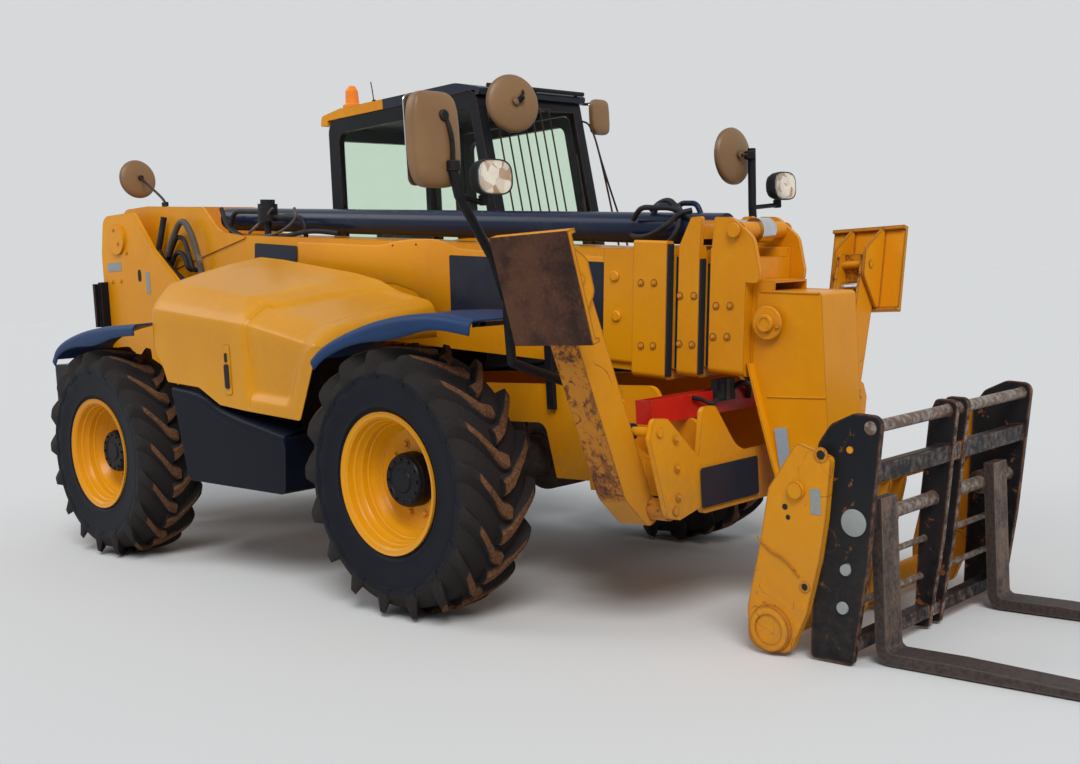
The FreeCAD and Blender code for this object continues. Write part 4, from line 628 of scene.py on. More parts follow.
def treadAttribute(piece, centre):
    # tread is 1 on the running faces of the lugs, shoulder is 1 outside the clean sidewall
    count = len(piece.data.vertices)
    place = np.zeros(count * 3)
    piece.data.vertices.foreach_get("co", place)
    place = place.reshape(-1, 3) - np.array(centre)
    radius = np.hypot(place[:, 0], place[:, 2])
    tread = np.clip((radius - 0.618) / 0.01, 0, 1) * np.clip((0.19 - np.abs(place[:, 1])) / 0.02, 0, 1)
    shoulder = np.clip((radius - 0.5) / 0.02, 0, 1)
    for name, value in (("tread", tread), ("shoulder", shoulder)):
        layer = piece.data.attributes.new(name, "FLOAT", "POINT")
        layer.data.foreach_set("value", value)


# rim: stepped barrel and deep dish; hub: stepped drum with a shallow cap and a ring of studs on its face
wheelShape = dict(
    rim=[(-0.177, 0.333), (-0.177, 0.292), (-0.06, 0.291), (-0.04, 0.267), (-0.03, 0.266),
        (-0.028, 0.126), (-0.012, 0.126), (-0.011, 0.16), (-0.009, 0.215), (-0.004, 0.236),
        (0.01, 0.248), (0.03, 0.254), (0.04, 0.262), (0.06, 0.266), (0.066, 0.272), (0.092, 0.276),
        (0.098, 0.281), (0.126, 0.287), (0.134, 0.294), (0.16, 0.3), (0.17, 0.311), (0.172, 0.324),
        (0.177, 0.331), (0.177, 0.3335), (0.165, 0.3335), (0.163, 0.306), (-0.163, 0.306),
        (-0.165, 0.3335)],
    hub=[(-0.012, 0.0), (-0.012, 0.129), (0.02, 0.1295), (0.05, 0.128), (0.058, 0.122), (0.068, 0.121),
        (0.076, 0.114), (0.0765, 0.088), (0.072, 0.084), (0.072, 0.058), (0.0785, 0.052), (0.0798, 0.0)],
    studs=dict(count=12, ring=0.101, out=0.0755, size=0.008, washer=1.25),
    nuts=dict(count=10, ring=0.17, out=-0.011, size=0.015, washer=1.5),
    valve=[(0.11, 0.05, 0.237), (0.105, 0.09, 0.225)], valveRadius=0.006)


def axlePart(place, profile, segments, closed=False):
    # a profile of (outward, radius) turned round a wheel's axle
    return lathe(np.array(profile) * [np.sign(place[1]), 1.0], place, (0, 1, 0), segments, closed)


def boltRing(place, count, ring, out, size, washer):
    # bolts evenly round the axle, on a face that looks outward
    outward = np.sign(place[1])
    turn = np.linspace(0, 2 * np.pi, count, endpoint=False)
    around = np.stack([ring * np.cos(turn), np.full(count, outward * out), ring * np.sin(turn)], -1)
    return bolts(np.array(place) + around, (0, outward, 0), size, washer)


for tag, place in wheelCentres.items():
    body = "wheel_" + tag
    tread = tyrePart(place, tyreShape)
    tyre = put("tyre_" + tag + "_tread", tread, "tyre", body, ("tyre_" + tag,), 40)
    treadAttribute(tyre, place)
    dish = axlePart(place, wheelShape["rim"], 96, True)
    put("rim_" + tag + "_dish", dish, "rim", body, ("rim_" + tag,), 28)
    hub = together([axlePart(place, wheelShape["hub"], 64), boltRing(place, **wheelShape["studs"])])
    put("hub_" + tag, hub, "hub", body)
    stem = np.array(place) + np.array(wheelShape["valve"]) * [1, np.sign(place[1]), 1]
    valve = tube(stem, wheelShape["valveRadius"], up=(1, 0, 0), rounds=0)
    put("wheelNuts_" + tag, together([boltRing(place, **wheelShape["nuts"]), valve]), "rim", body)
print("wheels made")


# Engine cover

coverShape = dict(rear=-1.725, front=-0.125, side=1.128, inner=0.367, channel=0.015, lip=0.13, border=(0.13, 0.17),
    rise=0.03, roundEnd=0.055, lidEdge=-0.765, middle=(-0.9, -0.6, 1.0), wall=0.006, wallsDownTo=(1.48, 1.262),
    stations=110, across=96,
    low=[(-1.725, 1.33), (-1.7, 1.295), (-1.6, 1.16), (-1.57, 1.088), (-1.245, 1.062), (-1.045, 0.97),
        (-0.795, 0.944), (-0.325, 0.908), (-0.197, 1.166), (-0.123, 1.262)],
    shoulder=[(-1.725, 1.54), (-1.445, 1.505), (-0.775, 1.425), (-0.125, 1.292)],
    ridge=[(-1.725, 1.745), (-1.445, 1.71), (-0.775, 1.6), (-0.125, 1.45)])


def splineRows(control, count):
    # quadratic B-spline through a row of control points, for every station at once
    knots = control.shape[1]
    t = np.linspace(0, knots - 2, count)
    k = np.minimum(t.astype(int), knots - 3)
    u = (t - k)[:, None]
    a, b, c = control[:, k], control[:, k + 1], control[:, k + 2]
    return 0.5 * ((1 - u) ** 2 * a + (-2 * u ** 2 + 2 * u + 1) * b + u ** 2 * c)


def coverPart(shape):
    # stations along the machine; across them a B-spline from the skirt over the shoulder to the ridge;
    # the shallow channel is a smooth step pressed in square to the surface
    rear, front = shape["rear"], shape["front"]
    x = np.concatenate([[rear, rear + 0.004, rear + 0.012, rear + 0.026, rear + 0.045],
        np.linspace(rear + 0.07, front - 0.06, shape["stations"]),
        [front - 0.04, front - 0.022, front - 0.01, front - 0.003, front]])
    low = np.interp(x, *np.array(shape["low"]).T)
    shoulder = np.interp(x, *np.array(shape["shoulder"]).T)
    ridge = np.interp(x, *np.array(shape["ridge"]).T)
    q = np.clip(1 - np.minimum(x - rear, front - x) / shape["roundEnd"], 0, 1)
    pull = shape["roundEnd"] * (1 - np.sqrt(1 - q ** 2)) * 0.8
    out = -shape["side"] + pull
    shoulder, ridge = shoulder - pull, ridge - pull
    low = np.minimum(low, shoulder - 0.012)
    inn = np.full_like(x, -shape["inner"])
    span, climb = shoulder - low, ridge - shoulder
    section = [(out, low - 0.02), (out, low), (out, low + span * 0.35), (out, low + span * 0.62),
        (out, shoulder - np.minimum(0.06, 0.3 * span)), (out + 0.016, shoulder - np.minimum(0.016, 0.1 * span)),
        (out + 0.14, shoulder + 0.34 * climb), (out + 0.175, shoulder + 0.39 * climb),
        (out + 0.46, shoulder + 0.76 * climb), (inn - 0.02, ridge), (inn, ridge), (inn, ridge - 0.02)]
    control = np.stack([np.stack([x, y, z], -1) for y, z in section], 1)
    points = splineRows(control, shape["across"])
    v = np.linspace(0, 1, shape["across"])[None]
    # distance forward of the lid's edge, and distance behind the arch edge
    lidEdge = shape["lidEdge"] + np.clip(v - 0.56, 0, 1) * 0.95
    ahead = points[..., 0] - lidEdge
    archX = np.interp(points[..., 2], [0.908, 1.166, 1.262, 1.3], [-0.325, -0.197, -0.123, front])
    behind = archX - points[..., 0]
    step = lambda d, w: 1 / (1 + np.exp(-np.clip(d / w, -30, 30)))
    above = points[..., 2] - low[:, None]
    pressed = step(ahead, 0.008) * step(behind - shape["lip"], 0.012) * step(above - 0.07, 0.008)
    # it fades out before the sheet's inner edge, where the surface turns down
    pressed = pressed * step(-shape["inner"] - 0.045 - points[..., 1], 0.008)
    # the lid's flat middle stands above a sloped border along its outer and front edges
    within = points[..., 1] + shape["side"]
    inside = np.clip(np.minimum((within - 0.02) / shape["border"][0], -ahead / shape["border"][1]), 0, 1)
    inside = inside * np.clip(within / 0.03, 0, 1)
    fall = 1 + 1.3 * np.clip((shoulder[:, None] - points[..., 2]) / 0.35, 0, 1)
    groove = np.exp(-(ahead / 0.007) ** 2) * step(above, 0.01)
    across = np.gradient(points, axis=1)
    run = np.gradient(points, axis=0)
    normal = unit(np.cross(run, across))
    normal *= np.sign((normal * (points - shape["middle"])).sum(-1, keepdims=True))
    return points - normal * (shape["channel"] * pressed * fall + 0.006 * groove - shape["rise"] * inside)[..., None]


def endWall(row, depth):
    # a wall from an end row of the sheet straight down to a height
    foot = np.column_stack([row[:, :2], np.minimum(row[:, 2], depth)])
    return skin(np.stack([row * (1 - w) + foot * w for w in (0.0, 0.5, 1.0)]), closeColumns=False)


def thicken(piece, thickness):
    wall = piece.modifiers.new("wall", "SOLIDIFY")
    wall.thickness, wall.offset = thickness, -1.0


sheet = coverPart(coverShape)
rearDepth, frontDepth = coverShape["wallsDownTo"]
walled = together([skin(sheet, closeColumns=False), endWall(sheet[0], rearDepth), endWall(sheet[-1], frontDepth)])
cover = put("bonnet_cover", walled, "bonnet", "bonnet", ("bonnet",), 30, outward=coverShape["middle"])
thicken(cover, coverShape["wall"])
print("engine cover made")


# Mudguards: an arched sheet whose outer edge rolls down into a lip

mudguardShape = dict(flap=0.045, inner=0.8, outer=1.198, roll=0.036, lip=0.03, sheet=0.008,
    stayAt=dict(front=0.675, rear=-2.175), stayHalf=0.025,
    stay=[((-0.83, 1.33), (-0.345, 1.352)), ((-0.367, 0.9), (-0.345, 1.352)), ((-0.83, 1.33), (-0.79, 1.398))],
    front=[(-0.125, 1.214), (-0.04, 1.272), (0.165, 1.34), (0.435, 1.398), (0.775, 1.416), (1.025, 1.374)],
    rear=[(-2.851, 1.212), (-2.775, 1.304), (-2.495, 1.374), (-2.145, 1.408), (-1.792, 1.412)])


def mudguardSheet(shape, line):
    # section: flat to the roll, a quarter circle, then the lip; carried along the arch, square to its run
    path = smoothLine(shape[line])
    turn = np.linspace(0, np.pi / 2, 8)
    roll, outer = shape["roll"], shape["outer"]
    y = np.concatenate([np.linspace(shape["inner"], outer - roll - 0.02, 6), outer - roll + roll * np.sin(turn),
        [outer - 0.0005, outer]])
    drop = np.concatenate([np.zeros(6), roll * (1 - np.cos(turn)), [roll + 0.4 * shape["lip"], roll + shape["lip"]]])
    # the edge hangs a little deeper round the middle of the arch
    middle = np.exp(-((path[:, :1] - path[:, 0].mean() - 0.12) / 0.22) ** 2)
    deeper = shape["flap"] * middle * np.clip(drop - 0.01, 0, 1) * 14
    along = unit(np.gradient(path, axis=0))
    down = np.stack([along[:, 1], -along[:, 0]], -1)
    rib = 0.004 * np.exp(-((y - 0.93) / 0.03) ** 2)
    place = path[:, None] + (drop - rib + deeper)[..., None] * down[:, None]
    return skin(np.stack(np.broadcast_arrays(place[..., 0], -y, place[..., 1]), -1), closeColumns=False)


for end in ("front", "rear"):
    sheet = mudguardSheet(mudguardShape, end)
    guards = put(end + "_mudguards_sheet", both(sheet), "guard", "chassis", (end + "_mudguards",),
        40, outward=np.array(wheelCentres[end + "_right"]) * [1, 0, 1])
    thicken(guards, mudguardShape["sheet"])
    x, half = mudguardShape["stayAt"][end], mudguardShape["stayHalf"]
    stay = together([boxPart((x - half, *low), (x + half, *high)) for low, high in mudguardShape["stay"]])
    put(end + "_mudguards_stays", both(stay), "black", "chassis", bevel=0.003)
print("mudguards made")


# Mirrors and lamps

mirrorShape = dict(
    caseCentre=(0.998, -1.3125, 2.12), caseSize=(0.076, 0.255, 0.39),
    doorCentre=(-0.355, 1.297, 2.529), doorSize=(0.046, 0.158, 0.22), armRadius=0.009, depth=0.048,
    arms=[[(1.017, 0.805, 2.125), (1.05, 0.805, 2.125), (1.055, 0.83, 2.125), (1.055, 0.858, 2.125)],
        [(-0.177, 0.372, 2.539), (-0.135, 0.41, 2.585), (-0.2, 0.45, 2.622), (-0.3316, 0.45, 2.622)],
        [(-0.35, 1.24, 2.612), (-0.395, 1.24, 2.612), (-0.405, 1.228, 2.612), (-0.405, 1.1482, 2.612)]],
    post=[(1.04, -1.268, 1.99), (1.000, -1.268, 1.99)],
    bow=[(1.055, -1.262, 2.01), (1.062, -1.262, 2.12), (1.048, -1.275, 2.2), (1.03, -1.29, 2.215)],
    clamps=[((1.055, 0.862, 2.125), (0, 0, 1), 0.03), ((-0.15, 0.395, 2.556), (0.4, 0.3, 0.5), 0.016),
        ((1.055, -1.262, 2.01), (0, 0, 1), 0.03), ((1.036, -1.29, 2.213), (1, 0, 0), 0.024)],
    feet=[((-0.345, 0.425, 2.6), (-0.325, 0.475, 2.645)),
        ((-0.42, 1.14, 2.598), (-0.39, 1.151, 2.628))])


def roundMirror(centre, axis, radius, shape):
    # face towards the axis; the back is a shallow dome with a clamp in its middle
    r, d = radius, shape["depth"]
    turn = np.linspace(0.12, np.pi / 2, 9)[::-1]
    back = [(-0.016 - (d - 0.016) * math.cos(t), r * 0.985 * math.sin(t)) for t in turn]
    profile = [(0.0, 0.0), (0.0, 0.965 * r), (0.004, 0.985 * r), (-0.006, r), (-0.014, r)] + back \
        + [(-d - 0.004, 0.12 * r), (-d - 0.014, 0.11 * r), (-d - 0.018, 0.06 * r), (-d - 0.018, 0.0)]
    face = lathe([(0.0008, 0.0), (0.0016, 0.55 * r), (0.0008, 0.955 * r), (0.0, 0.958 * r)], centre, axis, 48)
    return lathe(profile, centre, axis, 56), face


def caseMirror(centre, size):
    # rounded case, flat on the side of the glass, its back crowned; the glass is a plate set in the rim
    vertices, faces = pillow(centre, size, 5.0, 0.55, (28, 56))
    relative = (vertices - centre) / (np.array(size) / 2)
    fall = np.clip(1 - np.maximum(np.abs(relative[:, 1]), np.abs(relative[:, 2])) ** 4, 0, 1)
    vertices = vertices.copy()
    vertices[:, 0] += np.where(relative[:, 0] > 0, 0.012 * fall, 0.0)
    glass = plaque(roundRect(size[1] - 0.022, size[2] - 0.022, 0.03),
        (centre[0] - size[0] / 2 - 0.0015, centre[1], centre[2]), (0, 1, 0), (0, 0, 1), 0.004, 0.001)
    return (vertices, faces), glass


def clampPart(place, axis, radius):
    return lathe([(-0.022, radius * 0.8), (-0.018, radius), (0.018, radius), (0.022, radius * 0.8)], place, axis, 20)


leftRound = roundMirror((0.975, 0.805, 2.125), (-1, 0, 0), 0.15, mirrorShape)
cabRound = roundMirror((-0.215, 0.384, 2.536), (-1, 0.3, -0.08), 0.165, mirrorShape)
rightCase = caseMirror(mirrorShape["caseCentre"], mirrorShape["caseSize"])
doorCase = caseMirror(mirrorShape["doorCentre"], mirrorShape["doorSize"])
backs, glasses = zip(leftRound, cabRound, rightCase, doorCase)
put("mirrors_backs", together(backs), "mirror", "chassis", ("mirrors",), 30)
put("mirrors_glass", together(glasses), "silver", "chassis")
arm = mirrorShape["armRadius"]
arms = [tube(line, arm, sides=10) for line in mirrorShape["arms"]]
arms += [tube(mirrorShape["post"], 0.014, rounds=0), tube(mirrorShape["bow"], 0.011, sides=10)]
arms += [clampPart(*clamp) for clamp in mirrorShape["clamps"]] + [boxPart(*corners) for corners in mirrorShape["feet"]]
put("mirrors_arms", together(arms), "black", "chassis")
boomRound = roundMirror((-3.691, -0.04, 2.44), (-1, 0, -0.12), 0.14, mirrorShape)
foot = boomPoint(0.42, -0.207, 0.2354)
put("boom_mirror_back", boomRound[0], "mirror", "outer_boom", ("boom_mirror",), 30)
put("boom_mirror_glass", boomRound[1], "silver", "outer_boom")
armLine = [(-3.635, -0.04, 2.447), (-3.535, -0.06, 2.4), (foot[0], -0.207, foot[2] + 0.045), tuple(foot)]
boomArm = together([tube(armLine, arm, sides=10), clampPart((-3.637, -0.04, 2.447), (1, 0, 0), 0.017),
    boxPart(foot - [0.03, 0.009, 0.0], foot + [0.03, 0.009, 0.03])])
put("boom_mirror_arm", boomArm, "black", "outer_boom")

lampShape = dict(half=0.076, wide=1.38, power=3.0, x=1.06, y=1.088, z=1.9625, stemAt=(1.055, 1.1))


def lampParts(sign, shape):
    # housing, bowl and lens are squared circles turned about the lamp's axis; all share its stretch
    h, centre = shape["half"], (shape["x"], sign * shape["y"], shape["z"])
    squared = dict(power=shape["power"], stretch=(shape["wide"], 1.0), side=(0, 1, 0))
    turned = lambda profile: lathe(profile, centre, (1, 0, 0), 48, **squared)
    housing = turned([(-0.028, 0.0), (-0.028, 0.4 * h), (-0.022, 0.62 * h), (-0.004, 0.84 * h), (0.02, 0.97 * h),
        (0.052, h), (0.06, 0.985 * h), (0.06, 0.93 * h), (0.05, 0.92 * h), (0.01, 0.7 * h), (-0.012, 0.4 * h),
        (-0.015, 0.0)])
    bowl = turned([(0.054, 0.915 * h), (0.035, 0.86 * h), (0.016, 0.7 * h), (0.000, 0.46 * h), (-0.008, 0.2 * h),
        (-0.01, 0.0)])
    bulb = lathe([(-0.01, 0.0), (-0.01, 0.011), (0.012, 0.011), (0.022, 0.009), (0.028, 0.004), (0.029, 0.0)],
        (centre[0], centre[1] - sign * 0.018, centre[2]), (1, 0, 0), 20)
    lens = turned([(0.0555, 0.92 * h), (0.062, 0.9 * h), (0.069, 0.75 * h), (0.073, 0.5 * h), (0.0748, 0.25 * h),
        (0.0752, 0.0)])
    x, y = shape["stemAt"][0], sign * shape["stemAt"][1]
    stem = tube([(x, y, 1.864), (x, y, 1.905)], 0.014, up=(1, 0, 0), rounds=0)
    clamp = clampPart((x, y, 1.872), (0, 0, 1), 0.022)
    return dict(housing=together([housing, stem, clamp]), bowl=bowl, bulb=bulb, lens=lens)


lampSet = [lampParts(sign, lampShape) for sign in (1, -1)]
lampRows = [("housing", "interior", "frame_black", ("head_lamps",)), ("bowl", "reflector", "lamp_glass", ()),
    ("bulb", "amber", "lamp_glass", ()), ("lens", "lens", "lamp_glass", ())]
for name, finish, slot, hides in lampRows:
    put("head_lamps_" + name, together([lamp[name] for lamp in lampSet]), finish, "chassis", hides, 30)
print("mirrors and lamps made")


# Seat

seatShape = dict(x=-1.375, y=0.69, floor=1.079, crown=0.012, seam=0.006, seams=(-0.55, 0.55), power=5.0, lean=98.0)


def cushionPart(centre, size, axes, shape):
    # superellipsoid with its broad face crowned and pressed in along the seams
    vertices, faces = pillow((0, 0, 0), size, shape["power"], 0.6, (40, 80))
    seams = shape["seams"]
    across = vertices[:, 1] / (size[1] / 2)
    run = vertices[:, 0] / (size[0] / 2)
    top = np.clip(vertices[:, 2] / (size[2] / 2), -1, 1)
    groove = sum(np.exp(-((across - s) / 0.035) ** 2) for s in seams) + np.exp(-((run - 0.55) / 0.04) ** 2) * 0.8
    bolster = np.clip((np.abs(across) - seams[1]) / (1 - seams[1]), 0, 1)
    swell = shape["crown"] * (1 - run ** 2) * (1 - across ** 2) + 0.014 * np.sin(np.pi * bolster)
    vertices = vertices.copy()
    vertices[:, 2] += np.clip(top, 0, 1) * (swell - shape["seam"] * groove)
    return vertices @ np.array(axes, float) + np.array(centre, float), faces


def clothMap(piece, u, v):
    # the cloth's own map: metres along two directions
    mesh = piece.data
    place = np.zeros(len(mesh.vertices) * 3)
    mesh.vertices.foreach_get("co", place)
    corner = np.zeros(len(mesh.loops), dtype=np.int32)
    mesh.loops.foreach_get("vertex_index", corner)
    place = place.reshape(-1, 3)[corner]
    layer = mesh.uv_layers.new(name="cloth")
    layer.data.foreach_set("uv", (place @ np.array([u, v], float).T).ravel())


seatX, seatY, floor = seatShape["x"], seatShape["y"], seatShape["floor"]
sitting = cushionPart((seatX + 0.055, seatY, floor + 0.315), (0.49, 0.475, 0.115), np.eye(3), seatShape)
cushion = put("seat_cushion", sitting, "cloth", "chassis", ("seat",), 60)
clothMap(cushion, (1, 0, 0), (0, 1, 0))
lean = math.radians(seatShape["lean"])
backAxes = [(math.cos(lean), 0, math.sin(lean)), (0, 1, 0), (math.sin(lean), 0, -math.cos(lean))]
leaning = cushionPart((seatX - 0.175, seatY, floor + 0.635), (0.64, 0.455, 0.105), backAxes, seatShape)
backrest = put("seat_backrest", leaning, "cloth", "chassis", smooth=60)
clothMap(backrest, (0, 0, 1), (0, 1, 0))
# folded bellows between the seat and its plate, then the side console with its lever
folds = []
for i in range(11):
    outline = roundRect(0.37 + 0.018 * (i % 2), 0.38 + 0.018 * (i % 2), 0.04) + [seatX + 0.065, seatY]
    folds.append(np.column_stack([outline, np.full(len(outline), floor + 0.06 + 0.2 * i / 10)]))
plate = boxPart((seatX - 0.13, seatY - 0.2, floor), (seatX + 0.26, seatY + 0.2, floor + 0.06))
console = boxPart((seatX - 0.06, 0.295, floor), (seatX + 0.33, 0.43, floor + 0.45))
lever = lathe([(0, 0.016), (0.05, 0.014), (0.09, 0.022), (0.125, 0.024), (0.14, 0.012), (0.141, 0)],
    (seatX + 0.24, 0.36, floor + 0.45), (0.15, 0, 1), 20)
seatBase = together([skin(np.stack(folds)), plate, console, lever])
put("seat_base", seatBase, "interior", "chassis", bevel=0.006, smooth=30)
print("seat made")


# Cab trim: guard bars, outside rods, wiper, roof guard, aerial, door handle

def screenX(z):
    # front face of the cab at a height
    return -0.37 + (2.63 - z) * 0.2 / 1.18


trimShape = dict(bars=7, barFrom=0.355, barStep=0.074, barRadius=0.005, stand=0.034)


def screenRod(points, radius, up=(0, 1, 0), sides=8, rounds=3):
    # rod through points given as how far they stand off the windscreen, across, and height
    return tube([(screenX(z) + off, y, z) for off, y, z in points], radius, up, sides, rounds)


def guardBars(shape):
    stand, radius, upright = shape["stand"], shape["barRadius"], (0, 0, 1)
    places = shape["barFrom"] + shape["barStep"] * np.arange(shape["bars"])
    bars = [screenRod([(stand, y, z) for z in (1.49, 2.00, 2.55)], radius) for y in places]
    first, last = places[0], places[-1]
    for z in (1.5, 2.54):
        bars.append(screenRod([(0.03, first - 0.03, z), (0.03, last + 0.03, z)], 0.008, upright, rounds=0))
        for y in (first - 0.02, last + 0.02):
            bars.append(screenRod([(-0.01, y, z), (0.032, y, z)], 0.007, upright, rounds=0))
    return bars


outsideRods = [screenRod([(-0.01, 1.118, 2.5), (0.05, 1.15, 2.47), (0.075, 1.155, 2.2), (push, 1.155, 1.75),
    (push, 1.15, 1.56), (-0.01, 1.118, 1.5)], 0.006) for push in (0.09, 0.16)]
wiper = [screenRod([(0.02, 0.93, 1.56), (0.03, 0.955, 1.75), (0.016, 0.985, 2.02)], 0.007),
    screenRod([(0.012, 0.99, 1.72), (0.012, 1.000, 2.28)], 0.008, sides=6, rounds=0),
    clampPart((screenX(1.56) + 0.012, 0.93, 1.56), (1, 0, 0.17), 0.022)]
roofGuard = [tube([(-0.315, 0.3, 2.652), (-0.315, 1.11, 2.652)], 0.013, rounds=0)]
roofGuard += [tube([(-0.345, y, 2.63), (-0.315, y, 2.652)], 0.009, up=(0, 1, 0), rounds=0) for y in (0.34, 0.7, 1.06)]
guards = together(guardBars(trimShape) + outsideRods + wiper + roofGuard)
put("cab_frame_guards", guards, "black", "chassis")
aerial = [tube([(-1.365, 0.33, 2.685), (-1.368, 0.33, 2.715)], 0.012, up=(0, 1, 0), rounds=0),
    tube([(-1.368, 0.33, 2.7), (-1.38, 0.33, 2.79), (-1.389, 0.33, 2.83)], 0.0035, up=(0, 1, 0), sides=6)]
put("cab_roof_aerial", together(aerial), "black", "chassis")
grip = [(-0.47, 1.128, 1.58), (-0.47, 1.15, 1.58), (-0.49, 1.156, 1.66), (-0.5, 1.15, 1.72), (-0.5, 1.128, 1.72)]
handle = together([tube(grip, 0.008, sides=8),
    plaque(roundRect(0.13, 0.06, 0.015), (-0.6, 1.13, 1.3), (1, 0, 0), (0, 0, -1), 0.012, 0.003),
    plaque(roundRect(0.09, 0.028, 0.01), (-0.6, 1.141, 1.3), (1, 0, 0), (0, 0, -1), 0.01, 0.003)])
put("cab_door_handle", handle, "interior", "door")
print("cab trim made")


# Boom: bolts, dark plates, bands of painted shadow, bosses, pins, hoses and blank panels

boltPlaces = dict(
    outer_boom=[(1.172, -0.236, 1.488), (1.249, -0.236, 1.485), (1.153, -0.236, 1.196), (1.225, -0.236, 1.195)],
    boom_2=[(1.375, -0.211, 1.42), (1.454, -0.211, 1.417), (1.357, -0.211, 1.202), (1.43, -0.211, 1.197)],
    boom_3=[(1.556, -0.188, 1.368), (1.632, -0.188, 1.366), (1.532, -0.188, 1.23), (1.608, -0.188, 1.229)])
for body, places in boltPlaces.items():
    right = bolts(places, toRight, 0.011, 1.45)
    put(body + "_bolts", both(right), "boom", body)
    ring = lathe([(0, 0.0185), (0.0012, 0.0185), (0.0012, 0.012), (0, 0.012)], (0, 0, 0), toRight, 20, closed=True)
    put(body + "_boltRings", both(repeated(ring, places)), "interior", body)

# in boom coordinates, as lowest and highest corner: dark end plates on the front faces of the first two collars,
# and a dark band on the side of each section behind its own collar, which is painted shadow in the gap between the
# collars
collarFront = 4.82
darkPlatesAndGapShadow = dict(
    outer_boom=[((collarFront - 0.0005, -0.232, -0.52), (collarFront + 0.008, -0.1915, 0.088))],
    boom_2=[((collarFront + 0.1645, -0.207, -0.496), (collarFront + 0.173, -0.1685, 0.026)),
        ((collarFront + 0.02, -0.1885, -0.48), (collarFront + 0.0505, -0.1845, 0.03))],
    boom_3=[((collarFront + 0.18, -0.1655, -0.458), (collarFront + 0.2105, -0.1615, 0.006))])
for body, corners in darkPlatesAndGapShadow.items():
    vertices, faces = together([boxPart(*pair) for pair in corners])
    dark = boomPoint(*vertices.T), faces
    put(body + "_endPlatesAndGapShadow", both(dark), "interior", body)
bosses = repeated(lathe([(0, 0.026), (0.006, 0.026), (0.012, 0.02), (0.013, 0)], (0, 0, 0), toRight, 24),
    [(1.011, -0.23, 1.527), (1.01, -0.23, 1.338)])
put("outer_boom_bosses", both(bosses), "boom", "outer_boom")
pinAt = (1.805, -0.16, 1.285)
pinFlange = lathe([(0, 0.075), (0.006, 0.075), (0.01, 0.07), (0.01, 0)], pinAt, toRight, 48)
pinCup = lathe([(0.01, 0.04), (0.026, 0.04), (0.03, 0.035), (0.03, 0.026), (0.026, 0.024), (0.026, 0)],
    pinAt, toRight, 40)
pinHead = together([pinFlange, pinCup, bolts([(1.862, -0.17, 1.268)], toRight, 0.009)])
weld = tube([(1.776, -0.138, 0.96), (2.067, -0.138, 0.96)], 0.004, rounds=0, sides=8)
topFold = tube([(1.762, -0.137, 1.423), (2.055, -0.137, 1.403)], 0.006, rounds=0, sides=8)
flangeLine = smoothLine([(1.701, 1.11), (1.76, 0.86), (1.815, 0.64), (1.89, 0.41), (1.975, 0.19)], 2)
flange = carried(flangeLine, [(-0.01, -0.136, 0), (-0.01, -0.168, 0), (-0.006, -0.174, 0), (0.004, -0.174, 0),
    (0.006, -0.168, 0), (0.008, -0.136, 0)])
put("boom_nose_flange", both(flange), "boom", "boom_nose", smooth=30)
put("boom_nose_pinheads", both(together([pinHead, weld, topFold])), "boom", "boom_nose", smooth=30)

hoseSet = dict(thick=0.021, middle=0.015, nosed=0.013, thin=0.009,
    arch=[(-2.942, -0.27, 1.851), (-2.834, -0.285, 1.965), (-2.7, -0.29, 2.085), (-2.61, -0.285, 1.995),
        (-2.569, -0.275, 1.863), (-2.558, -0.25, 1.69)],
    rear=[(-2.965, -0.265, 2.11), (-3.000, -0.285, 1.957), (-3.036, -0.29, 1.87), (-2.894, -0.285, 1.755),
        (-2.76, -0.265, 1.66)],
    under=[(-2.43, -0.15, 2.125), (-2.33, -0.17, 1.97), (-2.085, -0.19, 1.905), (-1.68, -0.19, 1.89),
        (-1.458, -0.16, 1.915), (-1.24, -0.11, 1.88)],
    side=[(-2.43, -0.12, 2.05), (-2.25, -0.17, 1.945), (-2.000, -0.17, 1.88), (-1.76, -0.16, 1.84)],
    pipes=[[(-1.817, -0.17, 2.078), (-1.9, -0.19, 2.01), (-2.067, -0.19, 1.94)],
        [(-1.59, -0.17, 2.06), (-1.54, -0.19, 1.99), (-1.719, -0.2, 1.912), (-1.971, -0.2, 1.905)]],
    nose=[[(1.02, -0.085, 1.792), (1.09, -0.11, 1.845), (1.168, -0.11, 1.835), (1.25, -0.085, 1.83),
        (1.33, -0.06, 1.79), (1.365, -0.05, 1.73)],
        [(0.985, -0.06, 1.72), (1.06, -0.12, 1.705), (1.15, -0.13, 1.704), (1.25, -0.115, 1.75),
            (1.3, -0.09, 1.8), (1.345, -0.05, 1.81)],
        [(1.08, -0.02, 1.83), (1.16, -0.03, 1.872), (1.24, -0.05, 1.862), (1.3, -0.08, 1.77),
            (1.28, -0.11, 1.69), (1.23, -0.115, 1.66)]])
darkHoses = [tube(hoseSet["rear"], hoseSet["thick"], sides=14)]
darkHoses += [tube(hoseSet[line], hoseSet["middle"]) for line in ("under", "side")]
darkHoses += [tube(line, hoseSet["nosed"]) for line in hoseSet["nose"]]
put("boom_hoses_dark", together(darkHoses), "hose", "outer_boom", smooth=50)
paleHoses = [tube(hoseSet["arch"], hoseSet["thick"], sides=14)]
paleHoses += [tube(line, hoseSet["thin"]) for line in hoseSet["pipes"]]
put("boom_hoses_pale", together(paleHoses), "paleHose", "outer_boom", smooth=50)
ramPin = lathe([(0, 0.034), (0.008, 0.034), (0.011, 0.03), (0.011, 0)], boomPoint(5.16, -0.2, 0.155), toRight, 32)
put("ram_pin_heads", both(ramPin), "boom", "boom_3")


